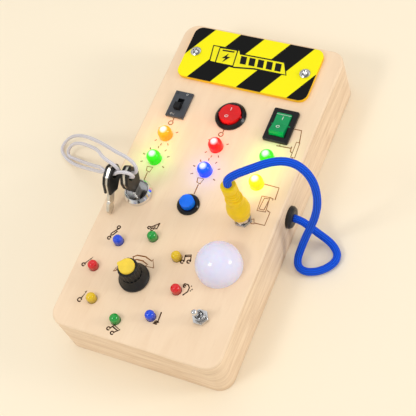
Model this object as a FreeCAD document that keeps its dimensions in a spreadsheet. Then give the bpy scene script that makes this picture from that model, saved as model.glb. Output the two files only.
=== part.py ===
import FreeCAD, Part
import math
import os
import Sketcher

# Wooden busy board, in millimetres. The origin is at the middle of the case's underside, +Z is up,
# +Y runs along the board to the striped plate, and +X points to the side where the plug's cord comes out.

VECTOR = FreeCAD.Vector
doc = FreeCAD.newDocument("BusyBoard")

# Driving dimensions
SIZES = {
    "case_width": 100.0,
    "case_length": 200.0,
    "case_height": 32.0,
    "case_wall": 7.6,
    "case_top": 4.0,
    "case_corner": 8.5,
    "case_edge_round": 1.2,
    "cavity_corner": 4.0,
    "fit": 0.3,
    "running_fit": 0.05,
    "panel_thickness": 3.0,
    "panel_inset": 3.0,
    "panel_screw_inset": 5.7,
    "panel_screw_shank": 2.2,
    "panel_screw_head": 4.0,
    "panel_screw_length": 10.0,
    "plate_x": -2.0,
    "plate_from_end": 20.2,
    "plate_width": 81.0,
    "plate_length": 35.0,
    "plate_thickness": 2.6,
    "plate_corner": 5.0,
    "plate_screw_gap": 68.4,
    "plate_screw_head": 6.2,
    "plate_screw_shank": 3.0,
    "plate_screw_length": 6.0,
    "slide_from_side": 18.0,
    "slide_share": 0.22,
    "slide_width": 11.0,
    "slide_length": 17.0,
    "slide_thickness": 1.6,
    "slide_depth": 7.0,
    "slide_body_width": 8.6,
    "slide_body_length": 13.0,
    "slide_knob": 3.6,
    "slide_knob_height": 3.4,
    "slide_travel": 4.0,
    "round_x": 0.0,
    "round_share": 0.2215,
    "round_bezel": 18.0,
    "round_bezel_height": 2.2,
    "round_body": 15.4,
    "round_depth": 14.0,
    "round_button": 12.6,
    "rocker_tilt": 9.0,
    "rocker_pin": 1.6,
    "square_from_side": 19.4,
    "square_share": 0.225,
    "square_width": 15.0,
    "square_length": 21.0,
    "square_bezel_height": 2.0,
    "square_body_width": 13.0,
    "square_body_length": 19.0,
    "square_depth": 14.0,
    "square_button_width": 8.6,
    "square_button_reach": 7.2,
    "push_x": -1.6,
    "push_share": -0.073,
    "push_bezel": 12.8,
    "push_bezel_height": 1.8,
    "push_bush": 10.6,
    "push_depth": 15.0,
    "push_cap": 8.0,
    "push_cap_height": 4.2,
    "push_travel": 3.0,
    "push_nut_flats": 13.0,
    "nut_thickness": 2.2,
    "lock_from_side": 17.9,
    "lock_share": -0.0775,
    "lock_bezel": 16.0,
    "lock_bezel_height": 4.5,
    "lock_bush": 12.4,
    "lock_depth": 17.0,
    "lock_face": 11.8,
    "lock_stem": 9.2,
    "lock_nut_flats": 15.0,
    "key_thickness": 1.8,
    "key_blade_width": 5.2,
    "key_blade_length": 14.5,
    "key_head_width": 12.4,
    "key_head_length": 17.0,
    "key_head_thickness": 4.6,
    "key_shoulder": 7.4,
    "key_hole": 5.2,
    "key_lift": 5.0,
    "key_tip_flat": 1.6,
    "spare_out": 8.3,
    "spare_near": 2.0,
    "spare_swing": 31.7,
    "spare_lean": 5.4,
    "status_left_from_side": 17.8,
    "status_mid_x": -0.6,
    "status_right_from_side": 19.5,
    "status_far_share": 0.1185,
    "status_near_share": 0.0375,
    "status_led": 8.0,
    "status_led_height": 7.0,
    "led_flange": 1.0,
    "led_flange_reach": 0.5,
    "ring_from_wall": 1.3,
    "ring_from_end_wall": 0.5,
    "ring_right_room": 27.1,
    "ring_led": 5.5,
    "ring_led_height": 5.2,
    "board_thickness": 1.6,
    "status_board_gap": 2.4,
    "status_board_length": 32.0,
    "ring_board_margin": 3.0,
    "selector_body": 24.0,
    "selector_depth": 8.0,
    "selector_bush": 9.0,
    "selector_bush_height": 3.4,
    "selector_shaft": 6.0,
    "selector_nut_flats": 11.0,
    "knob_skirt": 17.0,
    "knob_body": 11.4,
    "knob_height": 13.6,
    "knob_gap": 0.6,
    "knob_flutes": 18,
    "knob_cap": 8.8,
    "knob_cap_height": 2.0,
    "dome_from_side": 20.5,
    "dome_share": -0.2215,
    "dome_diameter": 25.4,
    "dome_wall": 1.4,
    "dome_rim_height": 2.4,
    "toggle_from_side": 18.8,
    "toggle_from_end": 25.4,
    "toggle_body_width": 8.0,
    "toggle_body_length": 13.0,
    "toggle_depth": 9.0,
    "toggle_bush": 6.0,
    "toggle_bush_height": 4.8,
    "toggle_bore": 5.0,
    "toggle_nut_flats": 8.0,
    "toggle_lever": 11.5,
    "toggle_ball": 4.4,
    "toggle_tip": 3.2,
    "toggle_tilt": 11.0,
    "toggle_pin": 1.0,
    "jack_from_side": 18.8,
    "jack_share": -0.0735,
    "jack_shell": 7.0,
    "jack_height": 8.5,
    "jack_flange_flats": 9.0,
    "jack_flange": 2.0,
    "jack_thread": 5.6,
    "jack_depth": 9.0,
    "jack_nut_flats": 9.0,
    "plug_pin": 3.2,
    "plug_skirt": 8.6,
    "plug_skirt_height": 8.0,
    "plug_widest": 12.8,
    "plug_end": 8.4,
    "plug_height": 37.5,
    "plug_ribs": 4,
    "cord_diameter": 4.3,
    "grommet_ahead": 14.2,
    "grommet_z": 18.2,
    "grommet_flange": 12.8,
    "grommet_flange_thickness": 3.0,
    "grommet_neck": 9.4,
    "knot_diameter": 9.4,
    "string_diameter": 2.0,
    "holder_gap": 0.1,
    "holder_length": 60.0,
    "holder_width": 35.6,
    "holder_height": 12.6,
    "holder_wall": 1.2,
    "cell_diameter": 10.5,
    "cell_length": 43.5,
    "cell_gap": 0.4,
    "contact_thickness": 0.5,
    "contact_spring": 3.0,
}

sheet = doc.addObject("Spreadsheet::Sheet", "Sizes")
for row, (size_name, size_value) in enumerate(SIZES.items(), start=1):
    sheet.set(f"A{row}", size_name)
    sheet.set(f"B{row}", str(size_value))
    sheet.setAlias(f"B{row}", size_name)
doc.recompute()


class Size:
    """A dimension that keeps both its value and the sheet expression that gives it."""

    def __init__(self, text, value):
        self.text = text
        self.value = value

    def joined(self, sign, other, value, swapped=False):
        words = [self.text, text_of(other)]
        if swapped:
            words.reverse()
        return Size(f"({words[0]} {sign} {words[1]})", value)

    def __add__(self, other):
        return self.joined("+", other, self.value + value_of(other))

    def __radd__(self, other):
        return self.joined("+", other, value_of(other) + self.value, swapped=True)

    def __sub__(self, other):
        return self.joined("-", other, self.value - value_of(other))

    def __rsub__(self, other):
        return self.joined("-", other, value_of(other) - self.value, swapped=True)

    def __mul__(self, other):
        return self.joined("*", other, self.value * value_of(other))

    def __rmul__(self, other):
        return self.joined("*", other, value_of(other) * self.value, swapped=True)

    def __truediv__(self, other):
        return self.joined("/", other, self.value / value_of(other))

    def __neg__(self):
        return Size(f"(0 - {self.text})", -self.value)


def value_of(size):
    return size.value if isinstance(size, Size) else float(size)


def text_of(size):
    return size.text if isinstance(size, Size) else repr(float(size))


def sine(angle):
    return Size(f"sin({text_of(angle)})", math.sin(math.radians(value_of(angle))))


def cosine(angle):
    return Size(f"cos({text_of(angle)})", math.cos(math.radians(value_of(angle))))


class Sheet:
    """The driving dimensions by name."""

    def __getattr__(self, name):
        return Size(f"Sizes.{name}", float(sheet.get(name)))


d = Sheet()
sub_parts = []


# Building helpers
def bind(item, name, size):
    """Sets a property to a number, or ties it to the sheet."""
    if isinstance(size, Size):
        item.setExpression(name, size.text)
    else:
        setattr(item, name, size)


def put(item, at, axis=(0, 0, 1), angle=0.0):
    """Places an object at a point, turned about an axis."""
    turn = FreeCAD.Rotation(VECTOR(*axis), value_of(angle))
    item.Placement = FreeCAD.Placement(VECTOR(*[value_of(c) for c in at]), turn)
    for letter, coordinate in zip("xyz", at):
        if isinstance(coordinate, Size):
            item.setExpression(f"Placement.Base.{letter}", coordinate.text)
    if isinstance(angle, Size):
        item.setExpression("Placement.Rotation.Angle", angle.text)
    return item


def sub_part(item, label):
    """Gives a finished sub-part the name that its file takes."""
    item.Label = label
    sub_parts.append(item)
    return item


def cylinder(radius, height, at=(0, 0, 0), along="Z"):
    item = doc.addObject("Part::Cylinder", "Cylinder")
    bind(item, "Radius", radius)
    bind(item, "Height", height)
    if along == "X":
        return put(item, at, (0, 1, 0), 90)
    if along == "Y":
        return put(item, at, (1, 0, 0), -90)
    return put(item, at)


def block(size_x, size_y, size_z, at=(0, 0, 0)):
    """A box whose place is the middle of its underside."""
    item = doc.addObject("Part::Box", "Block")
    bind(item, "Length", size_x)
    bind(item, "Width", size_y)
    bind(item, "Height", size_z)
    return put(item, (at[0] - size_x / 2, at[1] - size_y / 2, at[2]))


def ball(radius, at=(0, 0, 0)):
    item = doc.addObject("Part::Sphere", "Ball")
    bind(item, "Radius", radius)
    return put(item, at)


def hexagon(flats, height, at=(0, 0, 0)):
    """A hexagonal prism, by its size across flats."""
    item = doc.addObject("Part::Prism", "Hexagon")
    item.Polygon = 6
    bind(item, "Circumradius", flats / math.sqrt(3))
    bind(item, "Height", height)
    return put(item, at)


def joined(*items):
    item = doc.addObject("Part::MultiFuse", "Joined")
    item.Shapes = list(items)
    item.Refine = True
    return item


def cut(base, *tools):
    item = doc.addObject("Part::Cut", "Cut")
    item.Base = base
    item.Tool = tools[0] if len(tools) == 1 else group(*tools)
    return item


def group(*items):
    item = doc.addObject("Part::Compound", "Group")
    item.Links = list(items)
    return item


def shared(first, second):
    item = doc.addObject("Part::Common", "Shared")
    item.Base = first
    item.Tool = second
    return item


def new_body(name):
    return doc.addObject("PartDesign::Body", name)


def new_sketch(body, role):
    """An empty sketch on one of the body's own planes."""
    plane = next(item for item in body.Origin.OriginFeatures if item.Role == role)
    sketch = body.newObject("Sketcher::SketchObject", "Sketch")
    sketch.AttachmentSupport = (plane, [""])
    sketch.MapMode = "FlatFace"
    return sketch


def pin_down(sketch, geometry, point, at, keep="xy"):
    """Dimensions a point of the sketch from its origin."""
    for letter, kind, coordinate in (("x", "DistanceX", at[0]), ("y", "DistanceY", at[1])):
        if letter in keep:
            number = sketch.addConstraint(
                Sketcher.Constraint(kind, -1, 1, geometry, point, value_of(coordinate))
            )
            if isinstance(coordinate, Size):
                sketch.setExpression(f"Constraints[{number}]", coordinate.text)


def draw_outline(sketch, corners, arcs=None):
    """A closed outline through the corners, counter-clockwise; arcs gives an edge's centre by its number."""
    arcs = arcs or {}
    first = sketch.GeometryCount
    count = len(corners)
    flat = [VECTOR(value_of(x), value_of(y), 0) for x, y in corners]
    for i in range(count):
        start, end = flat[i], flat[(i + 1) % count]
        if i in arcs:
            centre = VECTOR(value_of(arcs[i][0]), value_of(arcs[i][1]), 0)
            from_angle = math.atan2(start.y - centre.y, start.x - centre.x)
            to_angle = math.atan2(end.y - centre.y, end.x - centre.x)
            if to_angle <= from_angle:
                to_angle += 2 * math.pi
            circle = Part.Circle(centre, VECTOR(0, 0, 1), (start - centre).Length)
            sketch.addGeometry(Part.ArcOfCircle(circle, from_angle, to_angle), False)
        else:
            sketch.addGeometry(Part.LineSegment(start, end), False)
    for i in range(count):
        sketch.addConstraint(Sketcher.Constraint("Coincident", first + i, 2, first + (i + 1) % count, 1))
    for i in range(count):
        keep = "xy"
        if (i - 1) % count in arcs:
            centre = arcs[(i - 1) % count]
            reach = (flat[i].x - value_of(centre[0]), flat[i].y - value_of(centre[1]))
            keep = "y" if abs(reach[0]) > abs(reach[1]) else "x"
        pin_down(sketch, first + i, 1, corners[i], keep)
        if i in arcs:
            pin_down(sketch, first + i, 3, arcs[i])


def draw_circle(sketch, centre, radius):
    number = sketch.addGeometry(
        Part.Circle(VECTOR(value_of(centre[0]), value_of(centre[1]), 0), VECTOR(0, 0, 1), value_of(radius)),
        False,
    )
    pin_down(sketch, number, 3, centre)
    constraint = sketch.addConstraint(Sketcher.Constraint("Radius", number, value_of(radius)))
    if isinstance(radius, Size):
        sketch.setExpression(f"Constraints[{constraint}]", radius.text)


def rectangle(width, length, centre=(0, 0)):
    """The corners of a rectangle about a centre."""
    x, y = centre
    left, right = x - width / 2, x + width / 2
    near, far = y - length / 2, y + length / 2
    return [(left, near), (right, near), (right, far), (left, far)]


def pad(body, sketch, height, both_ways=False):
    feature = body.newObject("PartDesign::Pad", "Pad")
    feature.Profile = sketch
    bind(feature, "Length", height)
    feature.Midplane = both_ways
    doc.recompute()
    return feature


def pocket(body, sketch, depth):
    """Cuts the sketch's shape out towards the plane's own positive side."""
    before = body.Shape.Volume
    feature = body.newObject("PartDesign::Pocket", "Pocket")
    feature.Profile = sketch
    feature.Reversed = True
    bind(feature, "Length", depth)
    doc.recompute()
    if body.Shape.Volume >= before:
        raise SystemExit(f"{body.Label}: a pocket cuts nothing")
    return feature


def edges_of(feature, wanted):
    """The names of the feature's edges that the test picks."""
    return [f"Edge{i}" for i, edge in enumerate(feature.Shape.Edges, start=1) if wanted(edge)]


def round_off(body, feature, radius, wanted, kind="Fillet"):
    """Rounds or chamfers the picked edges."""
    picked = edges_of(feature, wanted)
    item = body.newObject(f"PartDesign::{kind}", kind)
    item.Base = (feature, picked)
    bind(item, "Radius" if kind == "Fillet" else "Size", radius)
    doc.recompute()
    return item


def is_level(height):
    """Picks edges that lie wholly at one height."""
    level = value_of(height)
    return lambda edge: all(abs(v.Z - level) < 1e-4 for v in edge.Vertexes)


def is_upright(edge):
    ends = edge.Vertexes
    return len(ends) == 2 and math.hypot(ends[0].X - ends[1].X, ends[0].Y - ends[1].Y) < 1e-6


def is_along_x(edge):
    ends = edge.Vertexes
    return len(ends) == 2 and math.hypot(ends[0].Y - ends[1].Y, ends[0].Z - ends[1].Z) < 1e-6


def turned(name, corners, arcs=None):
    """A body of revolution about Z; each corner is (radius, height)."""
    body = new_body(name)
    sketch = new_sketch(body, "XZ_Plane")
    draw_outline(sketch, corners, arcs)
    feature = body.newObject("PartDesign::Revolution", "Revolution")
    feature.Profile = sketch
    feature.ReferenceAxis = (sketch, ["V_Axis"])
    feature.Angle = 360
    doc.recompute()
    return body


# Heights that several sub-parts share
deck = d.case_height
deck_under = d.case_height - d.case_top
board_top = deck_under - d.led_flange
board_under = board_top - d.board_thickness
floor_inside = d.panel_thickness

# Places that several sub-parts share
left, right = -d.case_width / 2, d.case_width / 2
near_end, far_end = -d.case_length / 2, d.case_length / 2
plate_at = (d.plate_x, far_end - d.plate_from_end)
slide_at = (left + d.slide_from_side, d.slide_share * d.case_length)
round_at = (d.round_x, d.round_share * d.case_length)
square_at = (right - d.square_from_side, d.square_share * d.case_length)
push_at = (d.push_x, d.push_share * d.case_length)
lock_at = (left + d.lock_from_side, d.lock_share * d.case_length)
spare_at = (lock_at[0] - d.spare_out, lock_at[1] - d.spare_near)
dome_at = (right - d.dome_from_side, d.dome_share * d.case_length)
toggle_at = (right - d.toggle_from_side, near_end + d.toggle_from_end)
jack_at = (right - d.jack_from_side, d.jack_share * d.case_length)
grommet_y = jack_at[1] + d.grommet_ahead
plate_screws_at = [
    (plate_at[0] - d.plate_screw_gap / 2, plate_at[1]),
    (plate_at[0] + d.plate_screw_gap / 2, plate_at[1]),
]
status_left = left + d.status_left_from_side
status_right = right - d.status_right_from_side
status_far = d.status_far_share * d.case_length
status_near = d.status_near_share * d.case_length
status_leds = {
    "led_orange": (status_left, status_far),
    "led_green_left": (status_left, status_near),
    "led_red": (d.status_mid_x, status_far),
    "led_blue": (d.status_mid_x, status_near),
    "led_green_right": (status_right, status_far),
    "led_yellow": (status_right, status_near),
}
ring_colours = ["red", "yellow", "green", "blue"]
ring_board = (d.case_width - 2 * d.case_wall - d.ring_from_wall - d.ring_right_room) / 2
ring_radius = ring_board - d.ring_board_margin
ring_at = (
    left + d.case_wall + d.ring_from_wall + ring_board,
    near_end + d.case_wall + d.ring_from_end_wall + ring_board,
)
ring_leds = [
    (ring_at[0] + ring_radius * cosine(45 * step), ring_at[1] + ring_radius * sine(45 * step))
    for step in range(8)
]
panel_screws_at = [
    (side * (d.case_width / 2 - d.panel_screw_inset), along * (d.case_length / 2 - d.case_corner * 2))
    for side in (-1, 1)
    for along in (-1, 0, 1)
]
bay_length = d.holder_length - 2 * d.holder_wall
bay_width = d.holder_width - 2 * d.holder_wall
holder_y = far_end - d.case_wall - d.holder_gap - d.holder_width / 2
door_screw_at = (d.holder_length / 2 - d.holder_wall - d.panel_screw_head / 2 - 1, holder_y)


# Case
def make_case():
    """The milled block: a shallow box, open below, with a hole for everything that shows on top."""
    case = new_body("Case")
    outline = new_sketch(case, "XY_Plane")
    draw_outline(outline, rectangle(d.case_width, d.case_length))
    raw = pad(case, outline, d.case_height)
    cornered = round_off(case, raw, d.case_corner, is_upright)
    round_off(case, cornered, d.case_edge_round, is_level(d.case_height))

    rebate = new_sketch(case, "XY_Plane")
    draw_outline(
        rebate, rectangle(d.case_width - 2 * d.panel_inset, d.case_length - 2 * d.panel_inset)
    )
    pocket(case, rebate, d.panel_thickness)
    cavity = new_sketch(case, "XY_Plane")
    draw_outline(cavity, rectangle(d.case_width - 2 * d.case_wall, d.case_length - 2 * d.case_wall))
    hollow = pocket(case, cavity, deck_under)
    inside = value_of(d.case_width) / 2 - value_of(d.panel_inset) + 0.01
    round_off(
        case,
        hollow,
        d.cavity_corner,
        lambda edge: is_upright(edge) and abs(edge.Vertexes[0].X) < inside,
    )

    holes = new_sketch(case, "XY_Plane")
    draw_outline(
        holes, rectangle(d.slide_body_width + d.fit, d.slide_body_length + d.fit, slide_at)
    )
    draw_outline(
        holes, rectangle(d.square_body_width + d.fit, d.square_body_length + d.fit, square_at)
    )
    for at, diameter in (
        (round_at, d.round_body + d.fit),
        (push_at, d.push_bush + d.fit),
        (lock_at, d.lock_bush + d.fit),
        (toggle_at, d.toggle_bush + d.fit),
        (jack_at, d.jack_thread + d.fit),
        (ring_at, d.selector_bush + d.fit),
        (dome_at, d.ring_led + d.fit),
    ):
        draw_circle(holes, at, diameter / 2)
    for at in plate_screws_at:
        draw_circle(holes, at, d.plate_screw_shank / 2)
    for at in status_leds.values():
        draw_circle(holes, at, (d.status_led + d.fit) / 2)
    for at in ring_leds:
        draw_circle(holes, at, (d.ring_led + d.fit) / 2)
    pocket(case, holes, d.case_height + 1)

    pilots = new_sketch(case, "XY_Plane")
    for at in panel_screws_at:
        draw_circle(pilots, at, d.panel_screw_shank / 2)
    pocket(case, pilots, d.panel_screw_length + 1)

    side_hole = new_sketch(case, "YZ_Plane")
    draw_circle(side_hole, (grommet_y, d.grommet_z), d.grommet_neck / 2)
    pocket(case, side_hole, d.case_width / 2 + 1)
    sub_part(case, "case_body")


def make_bottom_panel():
    """The thin panel let into the underside, open at the battery bay."""
    panel = new_body("BottomPanel")
    gap = 2 * (d.panel_inset + d.fit)
    outline = new_sketch(panel, "XY_Plane")
    draw_outline(outline, rectangle(d.case_width - gap, d.case_length - gap))
    raw = pad(panel, outline, d.panel_thickness)
    round_off(panel, raw, d.cavity_corner, is_upright)
    opening = new_sketch(panel, "XY_Plane")
    draw_outline(opening, rectangle(bay_length, bay_width, (0, holder_y)))
    for at in panel_screws_at:
        draw_circle(opening, at, (d.panel_screw_shank + d.fit) / 2)
    opened = pocket(panel, opening, d.panel_thickness + 1)
    limit = value_of(d.panel_screw_shank)
    round_off(
        panel,
        opened,
        (d.panel_screw_head - d.panel_screw_shank) / 2,
        lambda edge: is_level(0)(edge) and hasattr(edge.Curve, "Radius") and edge.Curve.Radius < limit,
        "Chamfer",
    )
    sub_part(panel, "bottom_panel")


def make_wood_screw(at):
    """A countersunk screw with a cross recess, driven up from below."""
    shank, head = d.panel_screw_shank / 2, d.panel_screw_head / 2
    sink = head - shank
    screw = turned(
        "WoodScrew",
        [(0, 0), (head, 0), (shank, sink), (shank, d.panel_screw_length - 1.5), (0, d.panel_screw_length)],
    )
    driven = cut(screw, block(head, 0.5, 0.8), block(0.5, head, 0.8))
    return put(driven, (at[0], at[1], 0.1))


def make_panel_screws():
    screws = [make_wood_screw(at) for at in panel_screws_at + [door_screw_at]]
    sub_part(group(*screws), "panel_screws")


# Striped plate
def make_plate():
    plate = new_body("Plate")
    outline = new_sketch(plate, "XY_Plane")
    draw_outline(outline, rectangle(d.plate_width, d.plate_length))
    raw = pad(plate, outline, d.plate_thickness)
    cornered = round_off(plate, raw, d.plate_corner, is_upright)
    round_off(plate, cornered, 0.4, is_level(d.plate_thickness))
    holes = new_sketch(plate, "XY_Plane")
    for side in (-1, 1):
        draw_circle(holes, (side * d.plate_screw_gap / 2, 0), (d.plate_screw_shank + d.fit) / 2)
    pocket(plate, holes, d.plate_thickness + 1)
    sub_part(put(plate, (*plate_at, deck)), "hazard_plate")


def make_plate_screw(at):
    """A pan-head screw with a cross recess; its head's underside is at height 0."""
    head, shank = d.plate_screw_head / 2, d.plate_screw_shank / 2
    rim, crown = 0.7, 1.9
    rise = crown - rim
    dome_radius = (head * head + rise * rise) / (2 * rise)
    screw = turned(
        "PlateScrew",
        [
            (0, -d.plate_screw_length),
            (shank, -d.plate_screw_length + shank),
            (shank, 0),
            (head, 0),
            (head, rim),
            (0, crown),
        ],
        {4: (0, crown - dome_radius)},
    )
    slot_length, slot_width, slot_depth = head, 0.8, 1.2
    driven = cut(
        screw,
        block(slot_length, slot_width, slot_depth, (0, 0, crown - slot_depth + 0.2)),
        block(slot_width, slot_length, slot_depth, (0, 0, crown - slot_depth + 0.2)),
    )
    return put(driven, (at[0], at[1], deck + d.plate_thickness))


def make_plate_screws():
    sub_part(group(*[make_plate_screw(at) for at in plate_screws_at]), "plate_screws")


# Slide switch
slide_slot_length = d.slide_knob + d.slide_travel + d.fit
slide_cavity_top = d.slide_thickness - 0.6
slide_cavity_length = d.slide_body_length - 2


def make_slide_switch():
    """A framed slide switch: its flange lies on the board and its body hangs in the board's hole."""
    flange = block(d.slide_width, d.slide_length, d.slide_thickness)
    below = block(d.slide_body_width, d.slide_body_length, d.slide_depth, (0, 0, -d.slide_depth))
    nubs = [
        cylinder(
            0.7,
            0.5,
            (side * (d.slide_width / 2 - 1.2), along * (d.slide_length / 2 - 1.2), d.slide_thickness),
        )
        for side in (-1, 1)
        for along in (-1, 1)
    ]
    slot = block(
        d.slide_knob + d.fit, slide_slot_length, 2 * d.slide_thickness, (0, 0, slide_cavity_top - 0.5)
    )
    cavity = block(
        d.slide_body_width - 2,
        slide_cavity_length,
        slide_cavity_top + 2.4,
        (0, 0, -2.4),
    )
    housing = cut(joined(flange, below, *nubs), slot, cavity)
    sub_part(put(housing, (*slide_at, deck)), "slide_switch_housing")

    foot_length = slide_cavity_length - d.slide_travel - 2 * d.fit
    foot = block(
        d.slide_body_width - 2 - 2 * d.fit,
        foot_length,
        slide_cavity_top - d.running_fit + 1.6,
        (0, 0, -1.6),
    )
    grip = block(d.slide_knob, d.slide_knob, d.slide_knob_height + 0.5, (0, 0, slide_cavity_top - 0.5))
    knob = joined(foot, grip)
    sub_part(
        put(knob, (slide_at[0], slide_at[1] - d.slide_travel / 2, deck)), "slide_switch_knob"
    )


# Rockers
def rocker_profile(name, reach, width, crown, depth):
    """A rocker's side view about its pivot, made as wide as asked: two sloping halves and round ends."""
    rocker = new_body(name)
    sketch = new_sketch(rocker, "YZ_Plane")
    top_angle = 25.0
    high = reach * sine(top_angle)
    out = reach * cosine(top_angle)
    low_angle = 20.0
    low = -reach * sine(low_angle)
    low_out = reach * cosine(low_angle)
    draw_outline(
        sketch,
        [
            (-low_out, low),
            (-low_out + 1.5, -depth),
            (low_out - 1.5, -depth),
            (low_out, low),
            (out, high),
            (0, crown),
            (-out, high),
        ],
        {3: (0, 0), 6: (0, 0)},
    )
    pad(rocker, sketch, width, both_ways=True)
    return rocker


def make_round_rocker():
    bore = d.round_button / 2 + 0.45
    collar = d.round_bezel / 2
    barrel = d.round_body / 2
    top = d.round_bezel_height
    pivot = top - 0.9
    housing = turned(
        "RoundRockerHousing",
        [
            (0, -d.round_depth),
            (barrel, -d.round_depth),
            (barrel, 0),
            (collar, 0),
            (collar, top - 1.3),
            (collar - 1.1, top - 0.2),
            (bore + 0.4, top),
            (bore, top - 0.3),
            (bore, pivot - 4.6),
            (0, pivot - 4.6),
        ],
    )
    pin_hole = d.rocker_pin / 2 + d.running_fit
    pin_length = 2 * bore + 1.4
    opened = cut(
        housing, cylinder(pin_hole, pin_length + 0.4, (-pin_length / 2 - 0.2, 0, pivot), "X")
    )
    sub_part(put(opened, (*round_at, deck)), "round_rocker_housing")

    raw = rocker_profile(
        "RoundRockerSide", d.round_button / 2 - 0.05, d.round_button + 2, d.round_button * 0.13, 2.6
    )
    disc = cylinder(d.round_button / 2, d.round_button, (0, 0, -d.round_button / 2))
    pins = cylinder(d.rocker_pin / 2, pin_length, (-pin_length / 2, 0, 0), "X")
    button = joined(shared(raw, disc), pins)
    sub_part(
        put(button, (*round_at, deck + pivot), (1, 0, 0), -d.rocker_tilt), "round_rocker_button"
    )


def make_square_rocker():
    top = d.square_bezel_height
    pivot = top - 0.8
    hole_width = d.square_button_width + 2 * d.fit
    hole_length = 2 * (d.square_button_reach + d.fit)
    housing = new_body("SquareRockerHousing")
    outline = new_sketch(housing, "XY_Plane")
    draw_outline(outline, rectangle(d.square_width, d.square_length))
    raw = pad(housing, outline, top)
    cornered = round_off(housing, raw, 1.0, is_upright)
    round_off(housing, cornered, 0.6, is_level(top))
    below = block(
        d.square_body_width, d.square_body_length, d.square_depth, (0, 0, -d.square_depth)
    )
    hole = block(hole_width, hole_length, 8 + top, (0, 0, pivot - 5.2))
    pin_hole = d.rocker_pin / 2 + d.running_fit
    pin_length = hole_width + 2.0
    pin_room = cylinder(pin_hole, pin_length + 0.4, (-pin_length / 2 - 0.2, 0, pivot), "X")
    opened = cut(joined(housing, below), hole, pin_room)
    sub_part(put(opened, (*square_at, deck)), "square_rocker_housing")

    side = rocker_profile(
        "SquareRockerSide", d.square_button_reach, d.square_button_width, 1.7, 2.8
    )
    pins = cylinder(d.rocker_pin / 2, pin_length, (-pin_length / 2, 0, 0), "X")
    button = joined(side, pins)
    sub_part(
        put(button, (*square_at, deck + pivot), (1, 0, 0), -d.rocker_tilt), "square_rocker_button"
    )


# Push button
def make_push_button():
    top = d.push_bezel_height
    collar, bush, cap = d.push_bezel / 2, d.push_bush / 2, d.push_cap / 2
    bore = cap + d.fit
    seat = -d.push_depth + 2
    housing = turned(
        "PushButtonHousing",
        [
            (0, -d.push_depth),
            (bush, -d.push_depth),
            (bush, 0),
            (collar, 0),
            (collar, top - 0.8),
            (collar - 0.8, top),
            (bore, top),
            (bore, seat),
            (0, seat),
        ],
    )
    sub_part(put(housing, (*push_at, deck)), "push_button_housing")

    nut = cut(
        hexagon(d.push_nut_flats, d.nut_thickness),
        cylinder(bush + d.running_fit, d.nut_thickness + 2, (0, 0, -1)),
    )
    sub_part(put(nut, (*push_at, deck_under - d.nut_thickness)), "push_button_nut")

    crown = 0.9
    high = top + d.push_cap_height
    cap_foot = seat + d.push_travel + 3
    dome_radius = (cap * cap + crown * crown) / (2 * crown)
    button = turned(
        "PushButtonCap",
        [(0, cap_foot), (cap, cap_foot), (cap, high - crown), (0, high)],
        {2: (0, high - dome_radius)},
    )
    sub_part(put(button, (*push_at, deck)), "push_button_cap")

    coil = cut(cylinder(cap - 0.8, cap_foot - seat), cylinder(cap - 1.6, cap_foot - seat + 2, (0, 0, -1)))
    sub_part(put(coil, (*push_at, deck + seat)), "push_button_spring")


# Key lock and keys
lock_face_depth = 3.2


def make_lock():
    top = d.lock_bezel_height
    collar, bush = d.lock_bezel / 2, d.lock_bush / 2
    face_bore = d.lock_face / 2 + d.fit
    stem_bore = d.lock_stem / 2 + d.fit
    seat = -d.lock_depth + 2
    body = turned(
        "LockBody",
        [
            (0, -d.lock_depth),
            (bush, -d.lock_depth),
            (bush, 0),
            (collar, 0),
            (collar, top - 1.8),
            (collar - 1.0, top - 0.3),
            (collar - 1.4, top),
            (face_bore, top - 0.5),
            (face_bore, top - lock_face_depth),
            (stem_bore, top - lock_face_depth),
            (stem_bore, seat),
            (0, seat),
        ],
    )
    sub_part(put(body, (*lock_at, deck)), "lock_body")

    nut = cut(
        hexagon(d.lock_nut_flats, d.nut_thickness),
        cylinder(bush + d.running_fit, d.nut_thickness + 2, (0, 0, -1)),
    )
    sub_part(put(nut, (*lock_at, deck_under - d.nut_thickness)), "lock_nut")

    face, stem = d.lock_face / 2, d.lock_stem / 2
    high = top - 0.8
    low = top - lock_face_depth + d.running_fit
    barrel = turned(
        "LockBarrel",
        [(0, seat + 0.5), (stem, seat + 0.5), (stem, low), (face, low), (face, high), (0, high)],
    )
    slot_depth = d.key_blade_length - d.key_lift + 1
    slot = block(
        d.key_thickness + 4 * d.running_fit,
        d.key_blade_width + 4 * d.running_fit,
        slot_depth + 1,
        (0, 0, high - slot_depth),
    )
    sub_part(put(cut(barrel, slot), (*lock_at, deck)), "lock_barrel")


hole_up = d.key_head_length - 4.8


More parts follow.
